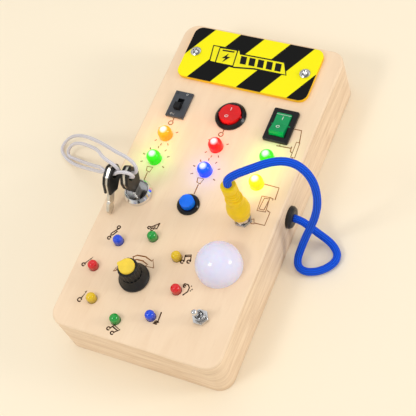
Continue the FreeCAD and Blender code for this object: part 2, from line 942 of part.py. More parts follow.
def key_parts(name):
    """A flat metal key and its moulded head, both about the shoulder between blade and head."""
    blade = d.key_blade_width / 2
    shoulder = d.key_shoulder / 2
    head = d.key_head_width / 2
    long = d.key_head_length
    metal = new_body(f"{name}Metal")
    sketch = new_sketch(metal, "YZ_Plane")
    tip = -d.key_blade_length
    rim = 0.6
    draw_outline(
        sketch,
        [
            (-blade, tip + 2.5),
            (-d.key_tip_flat / 2, tip),
            (d.key_tip_flat / 2, tip),
            (blade, tip + 2.5),
            (blade, tip + 5),
            (blade - 1.1, tip + 6.2),
            (blade, tip + 7.4),
            (blade, 0),
            (shoulder - rim, 0),
            (head - rim, 0.42 * long),
            (head - rim, 0.68 * long),
            (head - 3.4, long - rim),
            (-head + 3.4, long - rim),
            (-head + rim, 0.68 * long),
            (-head + rim, 0.42 * long),
            (-shoulder + rim, 0),
            (-blade, 0),
            (-blade, tip + 9.4),
            (-blade + 0.9, tip + 8.4),
            (-blade, tip + 7.4),
        ],
    )
    draw_circle(sketch, (0, hole_up), d.key_hole / 2 + 0.8)
    pad(metal, sketch, d.key_thickness, both_ways=True)

    covers = []
    for side in (-1, 1):
        cover = new_body(f"{name}Cover")
        outline = new_sketch(cover, "YZ_Plane")
        draw_outline(
            outline,
            [
                (-shoulder, 0),
                (shoulder, 0),
                (head, 0.42 * long),
                (head, 0.68 * long),
                (head - 3.2, long),
                (-head + 3.2, long),
                (-head, 0.68 * long),
                (-head, 0.42 * long),
            ],
        )
        draw_circle(outline, (0, hole_up), d.key_hole / 2)
        thick = (d.key_head_thickness - d.key_thickness) / 2
        slab = pad(cover, outline, thick)
        soft = round_off(cover, slab, 2.0, lambda edge: is_along_x(edge) and edge.Vertexes[0].Z > 1)
        round_off(
            cover,
            soft,
            0.6,
            lambda edge: all(abs(v.X - value_of(thick)) < 1e-4 for v in edge.Vertexes),
        )
        if side > 0:
            covers.append(put(cover, (d.key_thickness / 2, 0, 0)))
        else:
            covers.append(put(cover, (-d.key_thickness / 2, 0, 0), (0, 0, 1), 180))
    eyelet = cut(
        cylinder(d.key_hole / 2 + 0.7, d.key_thickness, (-d.key_thickness / 2, 0, hole_up), "X"),
        cylinder(d.key_hole / 2, d.key_thickness + 2, (-d.key_thickness / 2 - 1, 0, hole_up), "X"),
    )
    return metal, joined(*covers, eyelet)


def make_keys():
    metal, head = key_parts("Key")
    shoulder_at = (*lock_at, deck + d.lock_bezel_height - 0.8 + d.key_lift)
    sub_part(put(metal, shoulder_at), "key_blade")
    sub_part(put(head, shoulder_at), "key_head")

    # The spare key hangs by its hole on the string, swung out and leaning away from the first key.
    metal, head = key_parts("Spare")
    reach = (hole_up + d.key_blade_length) * cosine(d.spare_lean) + d.key_thickness / 2 * sine(d.spare_lean)
    drop = reach * cosine(d.spare_swing) + d.key_tip_flat / 2 * sine(d.spare_swing)
    for item, label in ((metal, "spare_key_blade"), (head, "spare_key_head")):
        hung = group(item)
        put(item, (0, 0, -hole_up))
        leaning = group(hung)
        put(hung, (0, 0, 0), (0, 1, 0), d.spare_lean)
        put(leaning, (*spare_at, deck + d.fit + drop), (1, 0, 0), -d.spare_swing)
        sub_part(leaning, label)


# Lamps
def make_led(name, diameter, height):
    """A round-topped lamp standing on its flange, whose underside is at height 0."""
    radius = diameter / 2
    flange = radius + d.led_flange_reach
    shoulder = d.led_flange + d.case_top + height - radius
    return turned(
        name,
        [
            (0, 0),
            (flange, 0),
            (flange, d.led_flange),
            (radius, d.led_flange),
            (radius, shoulder),
            (0, shoulder + radius),
        ],
        {4: (0, shoulder)},
    )


def make_lamps():
    for label, at in status_leds.items():
        led = make_led("StatusLed", d.status_led, d.status_led_height)
        sub_part(put(led, (*at, board_top)), label)
    for number, colour in enumerate(ring_colours):
        pair = [
            put(make_led("RingLed", d.ring_led, d.ring_led_height), (*at, board_top))
            for at in (ring_leds[number], ring_leds[number + 4])
        ]
        sub_part(group(*pair), f"ring_leds_{colour}")


def make_circuit_boards():
    near = status_near - d.status_led
    status = block(
        d.case_width - 2 * d.case_wall - 2 * d.status_board_gap,
        d.status_board_length,
        d.board_thickness,
        (0, near + d.status_board_length / 2, board_under),
    )
    sub_part(status, "status_circuit_board")
    disc = cut(
        cylinder(ring_board, d.board_thickness),
        cylinder((d.selector_bush + d.fit) / 2, d.board_thickness + 2, (0, 0, -1)),
    )
    sub_part(put(disc, (*ring_at, board_under)), "ring_circuit_board")


# Selector
knob_foot = deck + d.knob_gap


def make_selector():
    body, bush, shaft = d.selector_body / 2, d.selector_bush / 2, d.selector_shaft / 2
    rise = deck + d.selector_bush_height - board_under
    bore = shaft + d.running_fit
    switch = turned(
        "SelectorBody",
        [
            (0, -d.selector_depth),
            (body, -d.selector_depth),
            (body, 0),
            (bush, 0),
            (bush, rise),
            (bore, rise),
            (bore, -4),
            (0, -4),
        ],
    )
    sub_part(put(switch, (*ring_at, board_under)), "selector_switch_body")

    nut = cut(
        hexagon(d.selector_nut_flats, d.nut_thickness),
        cylinder(bush + d.running_fit, d.nut_thickness + 2, (0, 0, -1)),
    )
    sub_part(put(nut, (*ring_at, deck)), "selector_nut")

    shaft_top = d.knob_gap + d.knob_height - 3
    length = deck + shaft_top - board_under + 4 - d.running_fit
    spindle = cylinder(shaft, length, (*ring_at, board_under - 4 + d.running_fit))
    sub_part(spindle, "selector_shaft")


def make_knob():
    """A skirted, fluted knob with a coloured cap whose pointer shows the setting."""
    skirt, body = d.knob_skirt / 2, d.knob_body / 2
    shaft = d.selector_shaft / 2
    nut_room = d.selector_nut_flats / math.sqrt(3) + d.fit
    room_height = d.selector_bush_height + d.fit
    blank = turned(
        "KnobBlank",
        [
            (shaft, room_height),
            (nut_room, room_height),
            (nut_room, 0),
            (skirt, 0),
            (skirt, 1.2),
            (skirt - 0.6, 1.8),
            (body + 0.5, room_height + 1.6),
            (body, d.knob_height - 0.6),
            (body - 0.6, d.knob_height),
            (0, d.knob_height),
            (0, d.knob_height - 3),
            (shaft, d.knob_height - 3),
        ],
    )
    flutes = []
    for step in range(int(value_of(d.knob_flutes))):
        angle = step * 360 / value_of(d.knob_flutes)
        out = body + 0.75
        flutes.append(
            cylinder(1.0, d.knob_height, (out * cosine(angle), out * sine(angle), room_height + 2.4))
        )
    sub_part(put(cut(blank, *flutes), (*ring_at, knob_foot)), "knob_body")

    cap = d.knob_cap / 2
    pointer = new_body("KnobPointer")
    sketch = new_sketch(pointer, "XY_Plane")
    draw_outline(
        sketch, [(0, -cap), (0, cap), (-cap - 0.6, 0.8), (-cap - 1.0, 0), (-cap - 0.6, -0.8)][::-1]
    )
    pad(pointer, sketch, d.knob_cap_height)
    disc = turned(
        "KnobCapDisc",
        [
            (0, 0),
            (cap, 0),
            (cap, d.knob_cap_height - 0.5),
            (cap - 0.5, d.knob_cap_height),
            (0, d.knob_cap_height),
        ],
    )
    sub_part(put(joined(disc, pointer), (*ring_at, knob_foot + d.knob_height)), "knob_cap")


# Dome lamp
def make_dome_lamp():
    outer = d.dome_diameter / 2
    inner = outer - d.dome_wall
    rim = d.dome_rim_height
    solid = turned("DomeSolid", [(0, 0), (outer, 0), (outer, rim), (0, rim + outer)], {2: (0, rim)})
    hollow = turned("DomeHollow", [(0, -1), (inner, -1), (inner, rim), (0, rim + inner)], {2: (0, rim)})
    sub_part(put(cut(solid, hollow), (*dome_at, deck)), "lamp_dome")
    led = make_led("DomeLed", d.ring_led, d.ring_led_height)
    sub_part(put(led, (*dome_at, board_top)), "lamp_led")


# Toggle switch
toggle_pivot = d.toggle_bush_height - 2.4


def make_toggle():
    bush, bore = d.toggle_bush / 2, d.toggle_bore / 2
    base = block(
        d.toggle_body_width, d.toggle_body_length, d.toggle_depth, (0, 0, -d.case_top - d.toggle_depth)
    )
    neck = cylinder(bush, d.case_top + d.toggle_bush_height, (0, 0, -d.case_top))
    room = cylinder(bore, d.toggle_bush_height + 4.2, (0, 0, toggle_pivot - 4.4))
    pin_hole = d.toggle_pin / 2 + d.running_fit
    pin_room = cylinder(pin_hole, d.toggle_bush + 2, (-d.toggle_bush / 2 - 1, 0, toggle_pivot), "X")
    sub_part(put(cut(joined(base, neck), room, pin_room), (*toggle_at, deck)), "toggle_body")

    nut = cut(
        hexagon(d.toggle_nut_flats, d.nut_thickness),
        cylinder(bush + d.running_fit, d.nut_thickness + 2, (0, 0, -1)),
    )
    pin_clear = cylinder(pin_hole, d.toggle_nut_flats * 2, (-d.toggle_nut_flats, 0, toggle_pivot), "X")
    sub_part(put(cut(nut, pin_clear), (*toggle_at, deck)), "toggle_nut")

    tip = d.toggle_tip / 2
    long = d.toggle_lever
    stick = turned(
        "ToggleStick",
        [(0, -3.6), (0.9, -3.6), (1.1, 0), (1.2, 4), (tip, long - tip), (0, long)],
        {4: (0, long - tip)},
    )
    pin_length = d.toggle_bush - 0.2
    lever = joined(
        stick,
        ball(d.toggle_ball / 2),
        cylinder(d.toggle_pin / 2, pin_length, (-pin_length / 2, 0, 0), "X"),
    )
    sub_part(
        put(lever, (*toggle_at, deck + toggle_pivot), (1, 0, 0), d.toggle_tilt), "toggle_lever"
    )


# Jack and plug
def make_jack():
    shell, thread = d.jack_shell / 2, d.jack_thread / 2
    core = thread - 0.7
    pin = d.plug_pin / 2 + d.running_fit
    sleeve = cut(
        joined(
            hexagon(d.jack_flange_flats, d.jack_flange),
            cylinder(shell, d.jack_height),
            cylinder(thread, d.jack_depth, (0, 0, -d.jack_depth)),
        ),
        cylinder(core, d.jack_height + d.jack_depth + 2, (0, 0, -d.jack_depth - 1)),
    )
    sub_part(put(sleeve, (*jack_at, deck)), "jack_sleeve")

    insulator = cut(
        cylinder(core, d.jack_height + d.jack_depth - 0.4, (0, 0, -d.jack_depth)),
        cylinder(pin, d.jack_height + d.jack_depth, (0, 0, -d.jack_depth + 1.5)),
    )
    sub_part(put(insulator, (*jack_at, deck)), "jack_insulator")

    nut = cut(
        hexagon(d.jack_nut_flats, d.nut_thickness),
        cylinder(thread + d.running_fit, d.nut_thickness + 2, (0, 0, -1)),
    )
    sub_part(put(nut, (*jack_at, deck_under - d.nut_thickness)), "jack_nut")


def make_plug():
    """The cord's plug, standing in the jack: a metal skirt and pin, and a soft barrel with ribs."""
    skirt_foot = d.jack_flange + d.fit
    skirt, shell = d.plug_skirt / 2, d.jack_shell / 2 + 2 * d.running_fit
    pin = d.plug_pin / 2
    skirt_top = skirt_foot + d.plug_skirt_height
    seat = d.jack_height + d.fit
    ring = turned(
        "PlugSkirt",
        [
            (shell, skirt_foot),
            (skirt, skirt_foot),
            (skirt, skirt_top),
            (pin + 0.8, skirt_top),
            (pin + 0.8, seat),
            (shell, seat),
        ],
    )
    sub_part(put(ring, (*jack_at, deck)), "plug_skirt")

    pin_foot = -d.jack_depth + 3.5
    pin_top = skirt_top + 4
    rod = turned(
        "PlugPin",
        [(0, pin_foot), (pin - 0.6, pin_foot), (pin, pin_foot + 1), (pin, pin_top), (0, pin_top)],
    )
    sub_part(put(rod, (*jack_at, deck)), "plug_pin")

    # The barrel: it swells in its lower third, then narrows to a ribbed neck.
    foot = skirt_foot + 4
    widest, neck = d.plug_widest / 2, d.plug_end / 2
    high = d.plug_height
    rib_foot, rib_top = 0.66 * high, 0.92 * high
    rib_pitch = (rib_top - rib_foot) / d.plug_ribs
    rib_depth = 0.5
    corners = [
        (skirt + d.running_fit, foot),
        (skirt + 0.9, foot),
        (widest - 0.6, 0.24 * high),
        (widest, 0.33 * high),
        (widest - 0.3, 0.42 * high),
        (widest - 1.6, 0.55 * high),
        (neck + 0.6, rib_foot - 0.6),
    ]
    for rib in range(int(value_of(d.plug_ribs))):
        low = rib_foot + rib * rib_pitch
        corners += [
            (neck - rib_depth, low),
            (neck - rib_depth, low + rib_pitch * 0.35),
            (neck, low + rib_pitch * 0.5),
            (neck, low + rib_pitch * 0.85),
        ]
    corners += [
        (neck, rib_top),
        (neck, high - 0.5),
        (neck - 0.5, high),
        (0, high),
        (0, pin_top),
        (pin, pin_top),
        (pin, skirt_top),
        (skirt + d.running_fit, skirt_top),
    ]
    barrel = turned("PlugBarrel", corners)
    sub_part(put(barrel, (*jack_at, deck)), "plug_barrel")


# Cords
def tube(points, diameter):
    """A round tube along straight runs joined by tangent arcs, with the radii that it turns on."""
    spots = [VECTOR(*point) for point in points]
    edges, radii = [], []
    at = spots[0]
    for before, here, after in zip(spots, spots[1:], spots[2:]):
        back, onward = before - here, after - here
        turn = math.pi - back.getAngle(onward)
        reach = 0.45 * min(back.Length, onward.Length)
        radii.append(reach / math.tan(turn / 2))
        back.normalize()
        onward.normalize()
        start, end = here + back * reach, here + onward * reach
        middle_way = back + onward
        middle_way.normalize()
        middle = here + middle_way * (radii[-1] / math.cos(turn / 2) - radii[-1])
        edges.append(Part.LineSegment(at, start).toShape())
        edges.append(Part.Arc(start, middle, end).toShape())
        at = end
    edges.append(Part.LineSegment(at, spots[-1]).toShape())
    path = Part.Wire(edges)
    first_way = spots[1] - spots[0]
    circle = Part.Wire([Part.makeCircle(diameter / 2, spots[0], first_way)])
    shape = path.makePipeShell([circle], True, False)
    full = math.pi * diameter**2 / 4 * path.Length
    return shape, radii, path.Length, shape.Volume / full


def make_cord(label, points, diameter):
    shape, radii, length, filled = tube(points, diameter)
    item = doc.addObject("Part::Feature", "Cord")
    item.Shape = shape
    item.Placement = FreeCAD.Placement()
    sub_part(item, label)
    print(f"{label}: {length:.1f} mm long, volume {filled:.4f} of its section times its length")
    print("  radii", " ".join(f"{radius:.1f}" for radius in radii))


def make_grommet():
    """A rubber bush in the case's right side, with its axis along X, and the knot that holds the cord's end."""
    wall = d.case_wall
    neck, flange = d.grommet_neck / 2, d.grommet_flange / 2
    bore = d.cord_diameter / 2 + d.running_fit
    thick = d.grommet_flange_thickness
    inner = 2.0
    ring = turned(
        "Grommet",
        [
            (bore, -wall - inner),
            (flange - 0.6, -wall - inner),
            (flange, -wall - inner + 0.6),
            (flange, -wall),
            (neck, -wall),
            (neck, 0),
            (flange, 0),
            (flange, thick - 1.6),
            (flange - 0.8, thick - 0.4),
            (flange - 2.0, thick),
            (bore, thick),
        ],
    )
    sub_part(
        put(ring, (d.case_width / 2, grommet_y, d.grommet_z), (0, 1, 0), 90), "cord_grommet"
    )
    knot_x = d.case_width / 2 - wall - inner - d.knot_diameter / 2
    knot = joined(
        ball(d.knot_diameter / 2), cylinder(d.cord_diameter / 2, d.case_width / 2 - knot_x, (0, 0, 0), "X")
    )
    sub_part(put(knot, (knot_x, grommet_y, d.grommet_z)), "cord_knot")


# The plug's cord, point by point from the grommet in the case's side to the plug's top: how far each point
# lies out from the case's side and ahead of the jack, and its height
PLUG_CORD = [
    (0.0, 14.2, 18.2),
    (6.2, 14.2, 18.2),
    (11.3, 13.7, 13.4),
    (15.0, 13.5, 8.6),
    (19.5, 13.0, 4.8),
    (24.0, 11.3, 2.6),
    (28.2, 7.1, 2.2),
    (28.4, 2.0, 2.2),
    (25.3, -2.6, 2.2),
    (20.3, -6.4, 2.2),
    (14.5, -8.0, 2.2),
    (9.7, -6.3, 2.3),
    (8.2, -2.0, 3.8),
    (9.6, 2.4, 8.6),
    (12.1, 5.9, 16.0),
    (15.8, 8.1, 25.5),
    (19.7, 9.3, 36.5),
    (22.7, 10.5, 48.5),
    (23.9, 11.6, 60.0),
    (23.1, 13.0, 69.5),
    (20.0, 14.1, 77.0),
    (14.9, 14.5, 82.0),
    (8.5, 12.9, 84.5),
    (1.8, 9.4, 84.8),
    (-5.4, 5.3, 83.0),
    (-12.4, 2.3, 80.0),
    (-16.9, 0.6, 76.4),
    (-18.8, 0.0, 72.8),
    (-18.8, 0.0, 69.5),
]

# The keys' string: out of the lock key's hole and round to the floor beside the case, back through the
# spare key's hole and over its head, round a second time inside the first, and back to the lock key; each
# point is given from the lock's axis, and by its height
KEY_STRING = [
    (0.7, 1.2, 53.9),
    (3.9, 1.2, 54.0),
    (5.7, 2.5, 56.6),
    (4.5, 4.1, 60.4),
    (-0.4, 5.7, 62.6),
    (-7.3, 7.4, 61.8),
    (-16.0, 11.2, 58.0),
    (-28.1, 17.0, 49.5),
    (-41.8, 23.6, 38.0),
    (-56.2, 30.0, 24.0),
    (-68.4, 34.1, 11.0),
    (-75.5, 33.7, 3.0),
    (-76.9, 28.7, 1.1),
    (-70.9, 23.7, 1.1),
    (-61.9, 19.8, 4.5),
    (-48.9, 14.8, 14.5),
    (-34.0, 8.4, 29.0),
    (-23.4, 3.1, 41.0),
    (-17.5, -0.1, 48.6),
    (-12.9, -0.9, 54.0),
    (-8.2, -0.8, 55.2),
    (-4.9, -0.7, 55.6),
    (-3.9, -0.6, 58.4),
    (-5.5, -0.2, 61.8),
    (-9.3, 0.7, 62.8),
    (-14.7, 3.2, 61.0),
    (-22.2, 9.1, 55.2),
    (-33.9, 15.1, 44.5),
    (-47.9, 22.1, 31.0),
    (-59.9, 27.1, 18.0),
    (-66.9, 29.1, 9.0),
    (-69.9, 27.7, 5.0),
    (-69.1, 24.9, 2.6),
    (-63.9, 23.7, 4.2),
    (-51.9, 19.1, 12.8),
    (-37.4, 12.1, 27.0),
    (-25.9, 6.3, 40.0),
    (-18.3, 1.6, 50.4),
    (-13.3, -2.2, 56.4),
    (-8.2, -2.9, 56.0),
    (-5.5, -2.9, 56.4),
    (-3.5, -2.8, 58.9),
    (-0.3, -2.4, 60.1),
    (3.2, -1.9, 59.8),
    (5.2, -1.5, 57.0),
    (4.1, -1.3, 54.2),
    (0.9, -1.2, 53.9),
]


def route_from(start, route):
    """The points of a cord whose list starts from a place on the board."""
    x, y = value_of(start[0]), value_of(start[1])
    return [(x + point[0], y + point[1], point[2]) for point in route]


# Battery bay
def make_battery_bay():
    """An open-bottomed tray for three cells side by side, standing on the bottom panel."""
    outer = block(d.holder_length, d.holder_width, d.holder_height, (0, holder_y, floor_inside))
    inner = block(
        bay_length, bay_width, d.holder_height, (0, holder_y, floor_inside - d.holder_wall)
    )
    boss_width = d.panel_screw_head + 2
    boss_height = d.holder_height - d.holder_wall
    boss = block(
        boss_width,
        bay_width,
        boss_height,
        (bay_length / 2 - boss_width / 2, holder_y, floor_inside),
    )
    pilot = cylinder(d.panel_screw_shank / 2, d.panel_screw_length, (*door_screw_at, floor_inside - 1))
    tray = cut(joined(cut(outer, inner), boss), pilot)
    sub_part(tray, "battery_holder")

    radius = d.cell_diameter / 2
    pitch = d.cell_diameter + d.cell_gap
    cell_z = floor_inside + radius + 0.2
    contact_side = d.cell_diameter - 2.5
    cell_start = -bay_length / 2 + d.contact_thickness + d.contact_spring
    cells, contacts, springs = [], [], []
    tip = 1.0
    for row in (-1, 0, 1):
        y = holder_y + row * pitch
        flip = row == 0
        first = cell_start
        if flip:
            body = cylinder(radius, d.cell_length, (first - d.contact_spring + tip, y, cell_z), "X")
            nub = cylinder(1.9, tip, (first - d.contact_spring, y, cell_z), "X")
            spring_at = first - d.contact_spring + tip + d.cell_length
        else:
            body = cylinder(radius, d.cell_length, (first, y, cell_z), "X")
            nub = cylinder(1.9, tip, (first + d.cell_length, y, cell_z), "X")
            spring_at = first - d.contact_spring
        cells.append(joined(body, nub))
        springs.append(
            cut(
                cylinder(3.0, d.contact_spring, (spring_at, y, cell_z), "X"),
                cylinder(2.2, d.contact_spring + 2, (spring_at - 1, y, cell_z), "X"),
            )
        )
        for end in (0, 1):
            x = -bay_length / 2 + d.contact_thickness / 2
            if end:
                x = cell_start + d.cell_length + tip + d.contact_thickness / 2
            contacts.append(
                block(d.contact_thickness, contact_side, contact_side, (x, y, cell_z - contact_side / 2))
            )
    sub_part(group(*cells), "battery_cells")
    sub_part(group(*contacts, *springs), "battery_contacts")

    gap = 2 * d.fit
    door = cut(
        block(bay_length - gap, bay_width - gap, floor_inside - 0.2, (0, holder_y, 0)),
        cylinder((d.panel_screw_shank + d.fit) / 2, floor_inside + 2, (*door_screw_at, -1)),
        make_sink(door_screw_at),
    )
    sub_part(door, "battery_door")


def make_sink(at):
    """The countersink that a screw's head sits in."""
    head, shank = d.panel_screw_head / 2 + 0.15, (d.panel_screw_shank + d.fit) / 2
    sink = turned("Sink", [(0, -0.5), (head, -0.5), (head, 0.1), (shank, head - shank + 0.1), (0, head)])
    return put(sink, (at[0], at[1], 0))


# Terminals under the switches
def make_terminals():
    tags = []
    tag_height = 6.0
    for at, depth, offsets in (
        (round_at, d.round_depth, [(0, -4.4), (0, 4.4)]),
        (square_at, d.square_depth, [(0, -5.4), (0, 0), (0, 5.4)]),
    ):
        for dx, dy in offsets:
            tags.append(block(4.8, 0.8, tag_height, (at[0] + dx, at[1] + dy, deck - depth - tag_height)))
    for at, top, spread in (
        (slide_at, deck - d.slide_depth, 3.6),
        (toggle_at, deck_under - d.toggle_depth, 4.0),
        (push_at, deck - d.push_depth, 3.2),
    ):
        for step in (-1, 0, 1):
            tags.append(block(0.6, 1.2, 4.0, (at[0], at[1] + step * spread, top - 4.0)))
    for at, top in ((lock_at, deck - d.lock_depth),):
        for step in (-1, 1):
            tags.append(block(2.4, 0.8, 5.0, (at[0], at[1] + step * 3.4, top - 5.0)))
    selector_under = board_under - d.selector_depth
    for step in range(9):
        angle = step * 40
        reach = d.selector_body / 2 - 2.2
        place = (ring_at[0] + reach * cosine(angle), ring_at[1] + reach * sine(angle), selector_under - 3.5)
        tags.append(block(0.8, 0.8, 3.5, place))
    sub_part(group(*tags), "switch_terminals")


make_case()
make_bottom_panel()
make_panel_screws()
make_plate()
make_plate_screws()
make_slide_switch()
make_round_rocker()
make_square_rocker()
make_push_button()
make_lock()
make_keys()
make_lamps()
make_circuit_boards()
make_selector()
make_knob()
make_dome_lamp()
make_toggle()
make_jack()
make_plug()
make_grommet()
make_battery_bay()
make_terminals()
make_cord("plug_cord", route_from((right, jack_at[1]), PLUG_CORD), value_of(d.cord_diameter))
make_cord("key_string", route_from(lock_at, KEY_STRING), value_of(d.string_diameter))

doc.recompute()
for item in doc.Objects:
    if "Invalid" in item.State or "Error" in item.State:
        raise SystemExit(f"{item.Name} ({item.Label}) is {item.State}")
os.makedirs("parts", exist_ok=True)
for item in sub_parts:
    if item.Shape.isNull() or not item.Shape.isValid() or not item.Shape.Solids:
        raise SystemExit(f"{item.Label} has no valid shape")
    item.Shape.exportStep(os.path.join("parts", f"{item.Label}.step"))
print(len(sub_parts), "sub-parts")
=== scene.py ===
import math
import bmesh
import bpy
from mathutils import Matrix, Vector


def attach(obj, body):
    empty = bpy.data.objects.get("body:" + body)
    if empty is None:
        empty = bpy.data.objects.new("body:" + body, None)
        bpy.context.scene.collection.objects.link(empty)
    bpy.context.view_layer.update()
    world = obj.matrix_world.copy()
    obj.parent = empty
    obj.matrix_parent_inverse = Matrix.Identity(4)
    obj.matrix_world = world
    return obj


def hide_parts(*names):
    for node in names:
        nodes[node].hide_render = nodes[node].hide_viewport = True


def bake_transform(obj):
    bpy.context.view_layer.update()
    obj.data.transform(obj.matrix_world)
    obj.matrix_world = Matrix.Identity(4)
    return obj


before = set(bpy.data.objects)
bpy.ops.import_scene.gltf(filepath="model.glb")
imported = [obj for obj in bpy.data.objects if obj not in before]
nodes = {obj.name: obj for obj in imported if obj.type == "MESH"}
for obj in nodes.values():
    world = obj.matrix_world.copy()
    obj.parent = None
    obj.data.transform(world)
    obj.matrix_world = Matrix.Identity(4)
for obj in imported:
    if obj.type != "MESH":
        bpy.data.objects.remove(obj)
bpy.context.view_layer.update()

scene = bpy.context.scene
MM = 0.001
DECK = 0.032
PLATE_TOP = 0.0346
PLATE_MIDDLE = (-0.002, 0.0798)


# Camera: its directions and place fitted to the case's edges in the photograph
FOCAL_PIXELS, IMAGE_PIXELS = 1196.665, 416
right = Vector((0.89787627, 0.37386962, -0.23246445))
down = Vector((0.2319983, -0.85057991, -0.47190106))
ahead = Vector((-0.37415906, 0.3697774, -0.85045263))
lens = bpy.data.cameras.new("camera")
lens.sensor_width = 36
lens.lens = FOCAL_PIXELS / IMAGE_PIXELS * lens.sensor_width
lens.clip_start = 0.05
lens.clip_end = 20
camera = bpy.data.objects.new("camera", lens)
turn = Matrix((right, -down, -ahead)).transposed().to_4x4()
camera.matrix_world = Matrix.Translation((0.2522471, -0.2531283, 0.5833155)) @ turn
scene.collection.objects.link(camera)
scene.camera = camera


class Finish:
    """A material under construction, with short ways to add and join its nodes."""

    def __init__(self, name, roughness=0.5, metallic=0.0, **sockets):
        self.material = bpy.data.materials.new(name)
        self.material.use_nodes = True
        self.nodes = self.material.node_tree.nodes
        self.links = self.material.node_tree.links
        self.shader = self.nodes["Principled BSDF"]
        self.shader.inputs["Roughness"].default_value = roughness
        self.shader.inputs["Metallic"].default_value = metallic
        for socket, value in sockets.items():
            self.shader.inputs[socket.replace("_", " ")].default_value = value
        self.coords = self.add("ShaderNodeTexCoord")
        self.place = self.coords.outputs["Object"]

    def add(self, kind, inputs=None, **settings):
        node = self.nodes.new(kind)
        for key, value in settings.items():
            setattr(node, key, value)
        for key, value in (inputs or {}).items():
            if isinstance(value, bpy.types.NodeSocket):
                self.links.new(value, node.inputs[key])
            else:
                node.inputs[key].default_value = value
        return node

    def mapped(self, scale=(1, 1, 1), location=(0, 0, 0), rotation=(0, 0, 0), source=None):
        node = self.add("ShaderNodeMapping", {"Vector": source or self.place})
        node.inputs["Scale"].default_value = scale
        node.inputs["Location"].default_value = location
        node.inputs["Rotation"].default_value = rotation
        return node.outputs["Vector"]

    def noise(self, scale, detail=3.0, roughness=0.55, vector=None, distortion=0.0):
        node = self.add(
            "ShaderNodeTexNoise",
            {
                "Vector": vector or self.place,
                "Scale": scale,
                "Detail": detail,
                "Roughness": roughness,
                "Distortion": distortion,
            },
        )
        return node.outputs["Fac"]

    def ramp(self, factor, *stops):
        node = self.add("ShaderNodeValToRGB", {"Fac": factor})
        marks = node.color_ramp.elements
        while len(marks) < len(stops):
            marks.new(0.5)
        for mark, (at, colour) in zip(marks, stops):
            mark.position = at
            mark.color = (*colour, 1) if not isinstance(colour, (int, float)) else (colour,) * 3 + (1,)
        return node.outputs["Color"]

    def sum(self, operation, first, second, clamp=False):
        node = self.add("ShaderNodeMath", {0: first, 1: second}, operation=operation, use_clamp=clamp)
        return node.outputs[0]

    def mixed(self, factor, first, second, blend="MIX"):
        node = self.add("ShaderNodeMix", data_type="RGBA", blend_type=blend)
        for socket, value in ((0, factor), (6, first), (7, second)):
            if isinstance(value, bpy.types.NodeSocket):
                self.links.new(value, node.inputs[socket])
            elif socket:
                node.inputs[socket].default_value = (*value, 1)
            else:
                node.inputs[socket].default_value = value
        return node.outputs[2]

    def span(self, value, low=0.0, high=1.0, to_low=0.0, to_high=1.0):
        """A value's place between two others, put between two new ones."""
        node = self.add(
            "ShaderNodeMapRange",
            {"Value": value, "From Min": low, "From Max": high, "To Min": to_low, "To Max": to_high},
        )
        return node.outputs[0]

    def parts(self, vector=None):
        node = self.add("ShaderNodeSeparateXYZ", {0: vector or self.place})
        return node.outputs[0], node.outputs[1], node.outputs[2]

    def colour(self, socket):
        self.links.new(socket, self.shader.inputs["Base Color"])

    def rough(self, socket):
        self.links.new(socket, self.shader.inputs["Roughness"])

    def bump(self, height, strength=0.3, distance=0.0002):
        node = self.add("ShaderNodeBump", {"Height": height, "Strength": strength, "Distance": distance})
        self.links.new(node.outputs["Normal"], self.shader.inputs["Normal"])


def linear(red, green, blue):
    """A colour as it is seen on a screen, 0 to 255, as the values that light adds up in."""
    return tuple(
        (c / 255 / 12.92) if c / 255 <= 0.04045 else ((c / 255 + 0.055) / 1.055) ** 2.4
        for c in (red, green, blue)
    )


def shaded(colour, share):
    """A colour with that share of its light left."""
    return tuple(c * share for c in colour)


# Materials
def birch_case():
    """Birch plywood: a faint mottle on the top, the plies' streaks on the sides, and the sides a little
    darker than the top as painted shade.
    """
    finish = Finish("birch_case", roughness=0.5, Specular_IOR_Level=0.25)
    grain = finish.noise(1.0, 5, 0.6, finish.mapped((260, 22, 260)), 0.6)
    cloud = finish.noise(1.0, 3, 0.5, finish.mapped((60, 16, 60)), 1.2)
    fleck = finish.noise(1.0, 2, 0.5, finish.mapped((700, 110, 700)))
    top = finish.mixed(
        finish.ramp(grain, (0.3, 0.0), (0.75, 1.0)), linear(249, 222, 189), linear(245, 216, 182)
    )
    top = finish.mixed(
        finish.sum("MULTIPLY", finish.ramp(cloud, (0.4, 0.0), (0.75, 1.0)), 0.45), top, linear(238, 206, 170)
    )
    top = finish.mixed(
        finish.sum("MULTIPLY", finish.ramp(fleck, (0.6, 0.0), (0.75, 1.0)), 0.14), top, linear(222, 186, 148)
    )
    plies = finish.noise(1.0, 5, 0.6, finish.mapped((26, 26, 260)), 0.5)
    streaks = finish.noise(1.0, 4, 0.65, finish.mapped((60, 60, 900)), 0.3)
    # the side colours hold the plies' grain and also painted shade: they are set darker than the top's
    side = finish.mixed(
        finish.ramp(plies, (0.36, 0.0), (0.64, 1.0)), linear(247, 223, 194), linear(231, 203, 171)
    )
    streak_share = finish.sum("MULTIPLY", finish.ramp(streaks, (0.5, 0.0), (0.72, 1.0)), 0.6)
    side = finish.mixed(streak_share, side, linear(206, 172, 138))
    seam_low, seam_high = DECK - 0.0035, DECK - 0.0005
    seam = finish.ramp(
        finish.span(finish.parts()[2], seam_low, seam_high), (0.0, 0.0), (0.42, 0.0), (0.52, 1.0), (0.62, 0.0)
    )
    side = finish.mixed(finish.sum("MULTIPLY", seam, 0.6), side, linear(186, 140, 100))
    # faces that point up take the top's colour; the others take the sides' colour with its painted shade
    facing = finish.parts(finish.add("ShaderNodeNewGeometry").outputs["Normal"])[2]
    upward = finish.ramp(finish.sum("ABSOLUTE", facing, 0.0), (0.45, 0.0), (0.8, 1.0))
    finish.colour(finish.mixed(upward, side, top))
    finish.rough(finish.ramp(grain, (0.3, 0.44), (0.7, 0.56)))
    finish.bump(finish.sum("ADD", grain, finish.sum("MULTIPLY", streaks, 0.6)), 0.14, 0.00012)
    return finish.material


